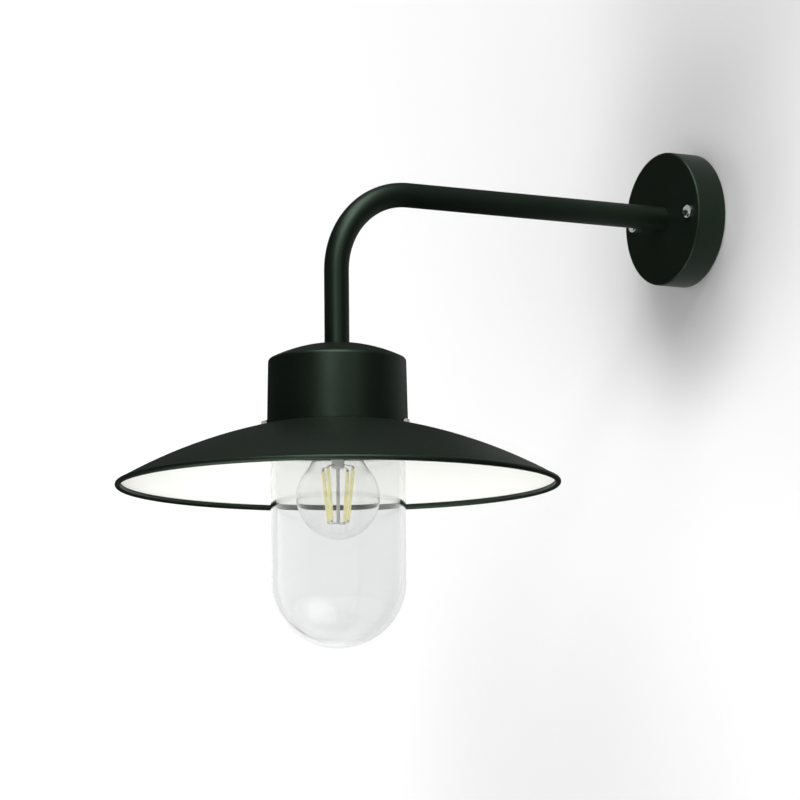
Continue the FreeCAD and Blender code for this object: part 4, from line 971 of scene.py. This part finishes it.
@dataclass
class Cap(SubAssembly):
    """The crowned cap with its three screw posts."""

    seat: float = 10.5
    hole: float = 6.7
    crown: float = 110.0
    shoulder: float = 49.7
    rim: float = 50.7
    edge: float = 3.0
    rim_edge: float = 0.3
    wall: float = 2.5
    post_circle: float = 31.5
    first_post: float = 90.0
    post: float = 4.5
    post_edge: float = 0.4
    post_bore: float = 2.0

    def crown_points(self, crown: float, top: float, limit: float, steps: int) -> list[Point]:
        """Sample a crown of a radius from its seat, at the height top, out to the limit."""
        rise = math.sqrt(crown ** 2 - self.seat ** 2)
        return [(r, top - rise + math.sqrt(crown ** 2 - r ** 2)) for r in spread(self.seat, limit, steps)]

    def build(self) -> None:
        """Turn the cap and set its posts."""
        roof = LEVELS.cap_top - self.wall
        outer = self.crown_points(self.crown, LEVELS.cap_top, self.shoulder, 28)
        inner = self.crown_points(self.crown - self.wall, roof, self.shoulder - self.wall, 20)
        outline = softened([
            (self.hole, LEVELS.cap_top), *outer[:-1], (*outer[-1], self.edge),
            (self.rim, LEVELS.cap_rim, self.rim_edge), (self.rim - self.wall, LEVELS.cap_rim, self.rim_edge),
            *reversed(inner), (self.hole, roof)], 10)
        self.turn("cap_shell", outline, Coats.green_powder, 160, "fixture", "green_casting", "cap")
        ceiling = self.crown_points(self.crown - self.wall, roof, self.post_circle + self.post, 1)[-1][1]
        height = ceiling - LEVELS.shade_under
        material = self.shop.of(Coats.green_powder)
        post = turned("cap_post", softened([
            (self.post_bore, 0.0), (self.post, 0.0, self.post_edge), (self.post, height),
            (self.post_bore, height)], 3), Matrix.Identity(4), [material], 40)
        posts = grown(self.shop.ring, "cap_posts", {
            "Fastener": post, "Count": 3, "Circle radius": self.post_circle * MM,
            "First angle": math.radians(self.first_post), "Lean": 0.0, "Lift": LEVELS.shade_under * MM,
            "Chance turn": 0.0, "Seed": 1, "Finish": material})
        posts.data.transform(LEVELS.lamp_place)
        bpy.data.objects.remove(post)
        fit(posts, "fixture", "green_casting")


@dataclass
class Shade(SubAssembly):
    """The dished sheet with its rolled edge and its three screws."""

    radius: float = 160.0
    rim_drop: float = 214.7
    bead: float = 2.0
    bead_share: float = 0.8
    coat_edge: float = 0.65
    crown: float = 372.0
    seat: float = 51.0
    seat_bend: float = 0.4
    hole: float = 36.6
    roll_from: float = 80.0
    roll_to: float = -200.0
    steps: int = 60
    screws: ScrewRing = ScrewRing(2.75, 2.3, 1.5, 5.6, count=3, circle=58.0, first=267.0, seed=3)

    @property
    def centre(self) -> Point:
        """Work out the dish's arc from its two ends.

        Returns:
            The arc's centre, in the plane of the outline.
        """
        rim = Vector((self.radius - self.bead, self.bead - self.rim_drop))
        seat = Vector((self.seat, LEVELS.cap_rim))
        chord = rim - seat
        height = math.sqrt(self.crown ** 2 - chord.length_squared / 4.0)
        middle = (rim + seat) / 2.0 + Vector((chord.y, -chord.x)).normalized() * height
        return middle.x, middle.y

    def height_at(self, radius: float, depth: float = 0.0) -> float:
        """The dish's height at a radius, on its face or a depth below it."""
        return self.centre[1] + math.sqrt((self.crown - depth) ** 2 - (radius - self.centre[0]) ** 2)

    def build(self) -> None:
        """Turn the dish in two colours and set its screws square to it."""
        rim = self.radius - self.bead
        inner = rim - self.bead * self.bead_share
        face = [(r, self.height_at(r)) for r in spread(self.seat, rim, self.steps)]
        under = [(r, self.height_at(r, LEVELS.sheet))
                 for r in spread(inner - self.coat_edge, self.seat - self.seat_bend, self.steps)]
        roll = arc((rim, -self.rim_drop), self.bead, self.roll_from, self.roll_to, 28)
        coated = [(self.hole, LEVELS.cap_rim), *face, *roll, (inner, self.height_at(inner, LEVELS.sheet))]
        dish = turned("dish_shade", [*coated, *under, (self.hole, LEVELS.shade_under)], LEVELS.lamp_place,
                      [self.shop.of(Coats.green_powder), self.shop.of(Coats.white_enamel)], 240, len(coated))
        fit(dish, "fixture", "green_coat", "shade")
        lean = math.degrees(math.asin((self.screws.circle - self.centre[0]) / self.crown))
        self.screws.build(self.shop, "shade_pan_screws", "shade_screws", LEVELS.lamp_place,
                          self.height_at(self.screws.circle), lean)


@dataclass
class Collar(SubAssembly):
    """The cast collar under the shade that carries the jar, its screws and the jar's seal."""

    shade: Shade
    mouth: float = 26.0
    bore: float = 42.2
    seat: float = 47.9
    skirt: float = 46.8
    skirt_length: float = 13.0
    skirt_edge: float = 1.2
    flange: float = 64.0
    flange_gap: float = 0.2
    seal_inner: float = 38.0
    seal_outer: float = 41.8
    seal_edge: float = 0.5
    screws: ScrewRing = ScrewRing(3.8, 2.6, 1.95, 12.0, count=3, circle=31.5, first=90.0, seed=8,
                                  heads_down=True)

    def build(self) -> None:
        """Turn the collar and its seal and set the screws."""
        low = LEVELS.web_under - self.skirt_length
        top = self.shade.height_at(self.flange, LEVELS.sheet) - self.flange_gap
        outline = softened([
            (self.mouth, LEVELS.shade_under), (self.seat, LEVELS.shade_under), (self.flange, top, 0.4),
            (self.flange, top - LEVELS.web, 0.8), (self.skirt, LEVELS.web_under, self.skirt_edge),
            (self.skirt, low, self.skirt_edge), (self.bore, low, 0.6), (self.bore, LEVELS.web_under),
            (self.mouth, LEVELS.web_under, 0.5)], 5)
        self.turn("jar_collar", outline, Coats.green_casting, 160, "fixture", "green_casting", "glass_collar")
        self.screws.build(self.shop, "collar_pan_screws", "collar_screws", LEVELS.lamp_place,
                          LEVELS.web_under)
        seal = softened([(radius, height, self.seal_edge) for radius, height in (
            (self.seal_inner, LEVELS.neck_top), (self.seal_outer, LEVELS.neck_top),
            (self.seal_outer, LEVELS.web_under), (self.seal_inner, LEVELS.web_under))], 4)
        self.turn("silicone_seal", seal, Mouldings.silicone, 120, "jar_thread", "silicone", "jar_seal")


@dataclass
class Jar(SubAssembly):
    """The pressed glass jar with its screwed neck."""

    radius: float = 48.5
    wall: float = 3.8
    neck: float = 41.8
    neck_length: float = 12.1
    neck_step: float = 0.4
    lip_share: float = 0.45
    throat: float = 1.5
    bottom: float = -284.5
    ridge: float = 0.33
    ridge_reach: float = 1.1
    thread_low: float = 0.6
    thread_high: float = 10.0
    thread_fade: float = 1.5
    pitch: float = 5.0
    on_neck: float = 0.05

    def build(self) -> None:
        """Turn the jar and raise the thread on its neck."""
        inner, bore = self.radius - self.wall, self.neck - self.wall
        neck_low = LEVELS.neck_top - self.neck_length
        drop = self.radius - self.neck
        side_top = neck_low - drop
        lip = self.wall * self.lip_share
        outline = on_axis([
            *arc((0.0, self.bottom), self.radius, -90.0, 0.0, 40),
            *((self.radius, height) for height in spread(self.bottom, side_top, 12)[1:-1]),
            *arc((self.neck, side_top), drop, 0.0, 90.0, 12),
            *((self.neck, neck_low + self.neck_step * i) for i in range(1, 26)),
            *arc((self.neck - lip, LEVELS.neck_top - lip), lip, 0.0, 90.0, 6),
            *arc((bore + lip, LEVELS.neck_top - lip), lip, 90.0, 180.0, 6),
            *arc((bore + self.throat, neck_low + self.throat), self.throat, 180.0, 270.0, 6),
            *arc((self.neck, side_top), drop - self.wall, 90.0, 0.0, 10),
            *((inner, height) for height in spread(side_top, self.bottom, 12)[1:-1]),
            *arc((0.0, self.bottom), inner, 0.0, -90.0, 40)])
        jar = turned("jar_glass", outline, Matrix.Identity(4), [self.shop.of(Glasses.pressed)], 192)
        for vert in jar.data.vertices:
            self.raise_thread(vert, neck_low)
        jar.data.transform(LEVELS.lamp_place)
        fit(jar, "jar", "jar_glass", "glass_jar")

    def raise_thread(self, vert: bpy.types.MeshVertex, neck_low: float) -> None:
        """Lift one point of the neck's outer face where the thread's ridge passes.

        Args:
            vert: a point of the jar, on its own axis.
            neck_low: the height of the neck's foot in millimetres.
        """
        radius = math.hypot(vert.co.x, vert.co.y)
        height = vert.co.z / MM - neck_low
        off_neck = abs(radius / MM - self.neck) > self.on_neck
        if off_neck or not self.thread_low < height < self.thread_high:
            return
        turn = math.atan2(vert.co.y, vert.co.x) / FULL_TURN
        distance = abs((height / self.pitch - turn + 0.5) % 1.0 - 0.5) * self.pitch
        to_end = min(height - self.thread_low, self.thread_high - height)
        slope = math.cos(min(distance / self.ridge_reach, 1.0) * math.pi / 2.0)
        lift = self.ridge * min(1.0, to_end / self.thread_fade) * max(0.0, slope) ** 2
        scale = 1.0 + lift * MM / radius
        vert.co.x *= scale
        vert.co.y *= scale


@dataclass
class Lamp(SubAssembly):
    """The filament lamp: bulb, screw shell, insulator, stem and four filaments."""

    globe: float = 30.0
    centre: float = -225.0
    wall: float = 0.35
    neck: float = 13.6
    shell: float = 12.95
    shell_top: float = -153.7
    shell_low: float = -178.0
    shell_sheet: float = 0.3
    thread_depth: float = 0.75
    shoulder: float = 10.6
    shoulder_length: float = 2.4
    plain_end: float = 4.2
    cone: float = 7.2
    cone_top: float = -151.6
    foot: float = 4.6
    foot_seat: float = -150.5
    foot_side: float = -149.6
    foot_flat: float = 3.2
    foot_top: float = -149.2
    press: float = -203.8
    pinch: float = 4.8
    pinch_foot: float = 0.6
    tip: float = -243.0
    tube: float = 4.8
    tube_length: float = 15.0
    flare_step: float = 1.0
    flare_gap: float = 0.4
    rod: float = 1.25
    top_circle: float = 13.0
    low_circle: float = 8.3
    first_filament: float = 27.0
    filament: float = 1.4
    filament_end: float = 1.4
    end_radius: float = 1.0
    end_length: float = 1.6
    bump: float = 0.05
    bump_room: float = 0.06
    bump_spacing: float = 1.35
    wire: float = 0.35
    wire_gap: float = 0.1
    wire_past: float = 0.2
    wire_in_tube: float = 0.4
    wire_in_rod: float = 0.3

    def bulb(self) -> None:
        """Blow the bulb: one globe, a neck that sweeps into it, and a thin wall."""
        rise = self.shell_low - self.centre
        sweep = (self.neck ** 2 + rise ** 2 - self.globe ** 2) / (2.0 * (self.globe - self.neck))
        join = math.degrees(math.atan2(rise, self.neck + sweep))
        hub = (self.neck + sweep, self.shell_low)
        middle = (0.0, self.centre)
        outline = on_axis([
            *arc(middle, self.globe, -90.0, join, 60), *arc(hub, sweep, 180.0 + join, 180.0, 24)[1:],
            *arc(hub, sweep + self.wall, 180.0, 180.0 + join, 24),
            *arc(middle, self.globe - self.wall, join, -90.0, 60)[1:]])
        self.turn("lamp_bulb", outline, Glasses.blown, 144, "lamp", "lamp_glass", "lamp_glass")

    def base(self) -> None:
        """Roll the screw shell and turn the insulator and the foot contact."""
        shell = ScrewShell(self.shell, self.thread_depth, self.shell_top, self.shell_top - self.shell_low,
                           self.shoulder, self.shoulder_length, self.plain_end, self.shell_sheet)
        shell.build(self.shop, "rolled_shell", "lamp", "lamp_shell")
        insulator = softened([
            (0.0, self.shell_top), (self.shoulder, self.shell_top, 0.4), (self.cone, self.cone_top, 1.2),
            (self.foot, self.foot_seat), (0.0, self.foot_seat)], 6)
        self.turn("black_insulator", insulator, Glasses.black, 80, "lamp", "black_glass", "lamp_insulator")
        foot = softened([
            (0.0, self.foot_seat), (self.foot, self.foot_seat), (self.foot, self.foot_side, 0.5),
            (self.foot_flat, self.foot_top, 0.8), (0.0, self.foot_top)], 6)
        self.turn("foot_contact", foot, Metals.brass, 64, "lamp_thread", "brass", "lamp_foot_contact")

    def stem(self) -> None:
        """Turn the flared stem, its pinch and its centre rod."""
        flare = self.neck - self.wall - self.flare_gap
        bore = self.tube - self.wall
        tube_top = self.press + self.tube_length
        outline = softened([
            (0.0, self.tip), (self.rod, self.tip, 0.5), (self.rod, self.press - self.pinch_foot, 1.0),
            (self.tube, self.press, 1.2), (self.tube, tube_top, 3.0), (flare, self.shell_low),
            (flare - self.wall, self.shell_low), (bore, tube_top + self.flare_step, 2.2),
            (bore, self.press + self.pinch, 1.0), (0.0, self.press + self.pinch)], 6)
        self.turn("glass_stem", outline, Glasses.stem, 72, "lamp", "lamp_glass", "lamp_stem")

    def rods(self, name: str, ends: tuple[Point | Vector, Point | Vector], radius: float, finish: Finish,
             slot: str, *nodes: str, bump: float = 0.0) -> None:
        """Set four equal rods round the lamp's axis.

        Args:
            name: the piece's name.
            ends: the first rod's two ends, as (radius, height).
            radius: the rods' radius.
            finish: their finish.
            slot: their material slot.
            nodes: the solids that they replace.
            bump: the height of the bumps along them.
        """
        (start, start_height), (end, end_height) = ends
        rods = grown(self.shop.rods, name, {
            "From": (start * MM, 0.0, start_height * MM), "To": (end * MM, 0.0, end_height * MM),
            "Rod radius": radius * MM, "Bump height": bump * MM, "Bump spacing": self.bump_spacing * MM,
            "Count": 4, "First angle": math.radians(self.first_filament), "Finish": self.shop.of(finish)})
        rods.data.transform(LEVELS.lamp_place)
        fit(rods, "lamp", slot, *nodes)

    def filaments(self) -> None:
        """Set the four filaments with their metal ends, and the wires that carry them."""
        top, low = Vector((self.top_circle, self.press)), Vector((self.low_circle, self.tip))
        along = (low - top).normalized()
        bare, held = along * self.filament_end, along * self.end_length
        self.rods("phosphor_filaments", (top + bare, low - bare), self.filament - self.bump_room,
                  Mouldings.phosphor, "filament", "led_filaments", bump=self.bump)
        self.rods("upper_filament_ends", (top, top + held), self.end_radius, Metals.wire, "filament")
        self.rods("lower_filament_ends", (low - held, low), self.end_radius, Metals.wire, "filament")
        rise = self.wire + self.wire_gap
        self.rods("upper_support_wires", ((self.tube - self.wire_in_tube, self.press + self.tube / 2.0),
                                          (self.top_circle + self.wire_past, self.press + rise)),
                  self.wire, Metals.wire, "nickel", "filament_supports")
        self.rods("lower_support_wires", ((self.rod - self.wire_in_rod, self.tip - rise),
                                          (self.low_circle + self.wire_past, self.tip - rise)),
                  self.wire, Metals.wire, "nickel")

    def build(self) -> None:
        """Make the whole lamp."""
        self.bulb()
        self.base()
        self.stem()
        self.filaments()


@dataclass
class Holder(SubAssembly):
    """The porcelain lampholder and its screw shell."""

    radius: float = 21.5
    waist: float = 20.0
    waist_low: float = -150.0
    body_top: float = -151.8
    top: float = -138.0
    rim: float = -178.0
    mouth: float = 14.6
    mouth_top: float = -172.0
    cavity: float = 14.1
    floor: float = 8.5
    shell: ScrewShell = ScrewShell(13.95, 0.55, -151.0, 21.0, 13.95, 0.5, 2.5, 0.25)

    def build(self) -> None:
        """Turn the glazed body and roll the contact shell."""
        floor = self.top - self.floor
        outline = softened([
            (0.0, self.top), (self.waist, self.top, 1.5), (self.waist, self.waist_low, 1.0),
            (self.radius, self.body_top, 1.0), (self.radius, self.rim, 1.5), (self.mouth, self.rim, 0.5),
            (self.mouth, self.mouth_top), (self.cavity, self.mouth_top), (self.cavity, floor, 0.8),
            (0.0, floor)], 6)
        self.turn("porcelain_holder", outline, Coats.porcelain, 120, "fixture", "porcelain", "lampholder")
        self.shell.build(self.shop, "contact_thread", "fixture", "contact_shell")


# Studio and camera

@dataclass
class PhotoCamera:
    """The photograph's camera, fitted to the light's edges."""

    lens: float = 231.922
    sensor: float = 36.0
    azimuth: float = 59.502
    pitch: float = 7.666
    roll: float = -0.505
    place: tuple[float, float, float] = (3.184784, -2.128633, -0.648413)

    def build(self) -> None:
        """Make the camera and look through it."""
        turn, tilt, roll = (math.radians(a) for a in (self.azimuth, self.pitch, self.roll))
        ahead = Vector((-math.sin(turn) * math.cos(tilt), math.cos(turn) * math.cos(tilt), math.sin(tilt)))
        right = ahead.cross(Vector((0.0, 0.0, 1.0))).normalized()
        up = right.cross(ahead)
        rolled_right = right * math.cos(roll) + up * math.sin(roll)
        rolled_up = up * math.cos(roll) - right * math.sin(roll)
        rows = Matrix((rolled_right, rolled_up, -ahead)).transposed()
        lens = bpy.data.cameras.new("photo_camera")
        lens.lens = self.lens
        lens.sensor_width = self.sensor
        camera = in_scene("photo_camera", lens)
        camera.matrix_world = Matrix.Translation(self.place) @ rows.to_4x4()
        bpy.context.scene.camera = camera


def clear_rays(tree: NodeTree) -> NodeSocket:
    """Give 1 for the rays that came through or off clear glass and mirrors."""
    rays = add(tree, "ShaderNodeLightPath").outputs
    return maths(tree, "MAXIMUM", rays["Is Transmission Ray"], rays["Is Singular Ray"])


def satin_rays(tree: NodeTree) -> NodeSocket:
    """Give 1 for the rays that left a satin surface, and 0 for those of the eye and of clear glass."""
    rays = add(tree, "ShaderNodeLightPath").outputs
    return maths(tree, "GREATER_THAN", rays["Is Glossy Ray"], clear_rays(tree))


def seen_from_front(tree: NodeTree, front: Node) -> None:
    """End a material that is clear from behind.

    Args:
        tree: its tree.
        front: the shader of its front.
    """
    side = add(tree, "ShaderNodeNewGeometry").outputs["Backfacing"]
    mixed = add(tree, "ShaderNodeMixShader", {0: side, 1: front, 2: add(tree, "ShaderNodeBsdfTransparent")})
    add(tree, "ShaderNodeOutputMaterial", {"Surface": mixed})


@dataclass(frozen=True)
class Softbox:
    """One soft light: place, aim, size in metres, power, if gloss mirrors it, how strongly glass does."""

    name: str
    place: tuple[float, float, float]
    target: tuple[float, float, float]
    size: tuple[float, float]
    power: float
    mirrored: bool = True
    in_glass: float = 0.0

    def shine(self) -> Material:
        """Light evenly, and show to the rays of clear glass only as a soft round patch.

        Returns:
            The panel's material.
        """
        material, tree = shader(self.name)
        material.cycles.emission_sampling = "FRONT"
        area = self.size[0] * self.size[1]
        even = add(tree, "ShaderNodeEmission", {"Strength": self.power / (math.pi * area)})
        across = add(tree, "ShaderNodeVectorMath", {
            0: add(tree, "ShaderNodeTexCoord").outputs["Object"],
            1: (1.0 / self.size[0], 1.0 / self.size[1], 1.0)}, operation="MULTIPLY")
        away = add(tree, "ShaderNodeVectorMath", {0: across}, operation="LENGTH").outputs["Value"]
        soft = ramp(tree, away, PANEL_PATCH, (self.in_glass, 0.0), "SMOOTHERSTEP")
        patch = add(tree, "ShaderNodeAddShader", {0: add(tree, "ShaderNodeBsdfTransparent"),
                                                  1: add(tree, "ShaderNodeEmission", {"Strength": soft})})
        clear = add(tree, "ShaderNodeLightPath").outputs["Is Singular Ray"]
        seen_from_front(tree, add(tree, "ShaderNodeMixShader", {0: clear, 1: even, 2: patch}))
        return material

    def build(self) -> Object:
        """Hang the light, turned to its target.

        Returns:
            The panel.
        """
        wide, tall = self.size[0] / 2.0, self.size[1] / 2.0
        panel = flat_sheet(self.name, [(wide, -tall, 0.0), (-wide, -tall, 0.0), (-wide, tall, 0.0),
                                       (wide, tall, 0.0)], self.shine())
        aim = Vector(self.target) - Vector(self.place)
        turn = aim.to_track_quat("-Z", "Y").to_matrix().to_4x4()
        panel.matrix_world = Matrix.Translation(self.place) @ turn
        panel.visible_camera = False
        panel.visible_shadow = False
        panel.visible_glossy = self.mirrored
        return panel


@dataclass(frozen=True)
class PaintedShadow:
    """One patch of painted shade: a soft round patch where the wall's colour is darkened; sizes in metres."""

    centre: tuple[float, float, float]
    core: float
    reach: float
    light: float

    def build(self, tree: NodeTree, spot: NodeSocket) -> NodeSocket:
        """Add the patch to a shader.

        Args:
            tree: the wall's shader tree.
            spot: the place on the wall.

        Returns:
            The share of the wall's colour kept in the patch's core, and 1 outside it.
        """
        away = add(tree, "ShaderNodeVectorMath", {0: spot, 1: self.centre}, operation="DISTANCE")
        return ramp(tree, away.outputs["Value"], (self.core, self.reach), (self.light, 1.0), "SMOOTHERSTEP")


@dataclass
class Studio:
    """A white wall with patches of painted shade, a pale floor, soft lights and a pale surround; sizes in
    metres.
    """

    wall_glow: float = 0.05
    floor_glow: float = 0.5
    left: float = -3.5
    right: float = 3.0
    front: float = -4.0
    wall_y: float = 0.0008
    floor_z: float = -1.65
    top: float = 2.6
    room: float = 0.95
    dim_room: float = 0.04
    # Painted reflection in the satin coat: how brightly the wall glows to its rays near the rose and higher
    # up, and over what reaches.
    near_reach: tuple[float, float] = (0.05, 0.33)
    near_painted_reflection: tuple[float, float] = (0.43, 0.03)
    above_reach: tuple[float, float] = (0.0, 0.5)
    high_painted_reflection: tuple[float, float] = (0.03, 0.11)
    # Painted shade: soft round patches where the wall's colour is darkened, round the rose, over it and low
    # behind the jar.
    painted_shadows: tuple[PaintedShadow, ...] = (
        PaintedShadow((0.0, 0.0, 0.0), 0.055, 0.2, 0.84),
        PaintedShadow((0.06, 0.0, 0.2), 0.04, 0.26, 0.79),
        PaintedShadow((0.005, 0.0, -0.06), 0.0, 0.115, 0.7),
        PaintedShadow((-0.15, 0.0, -0.52), 0.05, 0.42, 0.84),
    )
    softboxes: tuple[Softbox, ...] = (
        Softbox("top_softbox", (0.35, -0.7, 1.5), (0.0, -0.25, -0.15), (1.0, 1.0), 17.0),
        Softbox("front_strip", (1.85, -1.95, 0.75), (0.0, -0.3, -0.15), (0.6, 2.4), 19.0),
        Softbox("high_front", (1.3, -0.85, 1.35), (0.0, -0.3, -0.15), (0.8, 0.5), 14.0),
        Softbox("right_fill", (2.4, -0.3, 0.5), (0.0, -0.3, -0.15), (1.2, 1.6), 5.5),
        Softbox("low_front_fill", (0.08, -0.9, -1.12), (0.0, -0.25, -0.2), (1.5, 1.5), 18.0, in_glass=1.5),
        Softbox("wall_wash", (-1.7, -0.9, 0.1), (-1.1, 0.0, 0.1), (1.4, 1.4), 23.0, False),
    )

    def one_sided(self, name: str, colour: str, glow: float) -> Material:
        """A matt surface seen from its front only, its colour darkened by the patches of painted shade, and
        to the satin coat's rays a painted reflection that glows brighter near the rose and higher up.

        Args:
            name: the material's name.
            colour: its sRGB hex colour.
            glow: how brightly it shines by itself.

        Returns:
            The material.
        """
        material, tree = shader(name)
        spot = add(tree, "ShaderNodeTexCoord").outputs["Object"]
        paint = add(tree, "ShaderNodeVectorMath", {0: linear(colour)[:3], 3: 1.0}, operation="SCALE")
        # Painted shade: the wall's colour is darkened in each patch.
        for shadow in self.painted_shadows:
            shaded = shadow.build(tree, spot)
            paint = add(tree, "ShaderNodeVectorMath", {0: paint, 3: shaded}, operation="SCALE")
        matt = add(tree, "ShaderNodeBsdfDiffuse", {"Color": paint.outputs["Vector"]})
        shine = add(tree, "ShaderNodeEmission", {"Color": linear("#ffffff"), "Strength": glow})
        front = add(tree, "ShaderNodeAddShader", {0: matt, 1: shine})
        # Painted reflection: to the satin coat's rays the wall glows brighter near the rose and higher up.
        away = add(tree, "ShaderNodeVectorMath", {0: spot}, operation="LENGTH").outputs["Value"]
        fall = ramp(tree, away, self.near_reach, self.near_painted_reflection, "SMOOTHERSTEP")
        height = add(tree, "ShaderNodeSeparateXYZ", {"Vector": spot}).outputs["Z"]
        high_reflection = ramp(tree, height, self.above_reach, self.high_painted_reflection, "SMOOTHERSTEP")
        dark = add(tree, "ShaderNodeEmission", {"Color": linear("#ffffff"),
                                                "Strength": maths(tree, "MAXIMUM", fall, high_reflection)})
        seen_from_front(tree, add(tree, "ShaderNodeMixShader", {0: satin_rays(tree), 1: front, 2: dark}))
        return material

    def surround(self) -> bpy.types.World:
        """Make the room: bright to the eye and to clear glass, and dim to all other rays.

        Returns:
            The world.
        """
        world = bpy.data.worlds.new("studio")
        world.use_nodes = True
        tree = world.node_tree
        tree.nodes.clear()
        rays = add(tree, "ShaderNodeLightPath").outputs
        seen = maths(tree, "MAXIMUM", rays["Is Camera Ray"], clear_rays(tree))
        dim, pale = (add(tree, "ShaderNodeBackground", {"Color": linear("#ffffff"), "Strength": strength})
                     for strength in (self.dim_room, self.room))
        mixed = add(tree, "ShaderNodeMixShader", {0: seen, 1: dim, 2: pale})
        add(tree, "ShaderNodeOutputWorld", {"Surface": mixed})
        return world

    def build(self) -> None:
        """Set up the stage, the lights and the surround."""
        white = self.one_sided("white_wall", "#dcdcdc", self.wall_glow)
        pale = self.one_sided("pale_floor", "#e4e4e4", self.floor_glow)
        wall = flat_sheet("backdrop_wall", [
            (self.left, self.wall_y, self.floor_z), (self.right, self.wall_y, self.floor_z),
            (self.right, self.wall_y, self.top), (self.left, self.wall_y, self.top)], white)
        floor = flat_sheet("floor", [
            (self.left, self.front, self.floor_z), (self.right, self.front, self.floor_z),
            (self.right, self.wall_y, self.floor_z), (self.left, self.wall_y, self.floor_z)], pale)
        floor.visible_glossy = False
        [softbox.build() for softbox in self.softboxes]
        bpy.context.scene.world = self.surround()
        bpy.context.scene.view_settings.view_transform = "Standard"


def main() -> None:
    """Build the light, its studio and its camera."""
    logging.basicConfig(level=logging.INFO, format="%(name)s: %(message)s")
    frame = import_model()
    PhotoCamera().build()
    shop = Workshop()
    shade = Shade(shop)
    for assembly in (WallSide(shop), Arm(shop), Cap(shop), Holder(shop), shade, Collar(shop, shade),
                     Jar(shop), Lamp(shop), Inner(shop, frame["nodes"])):
        assembly.build()
    Studio().build()


if __name__ == "__main__":
    main()
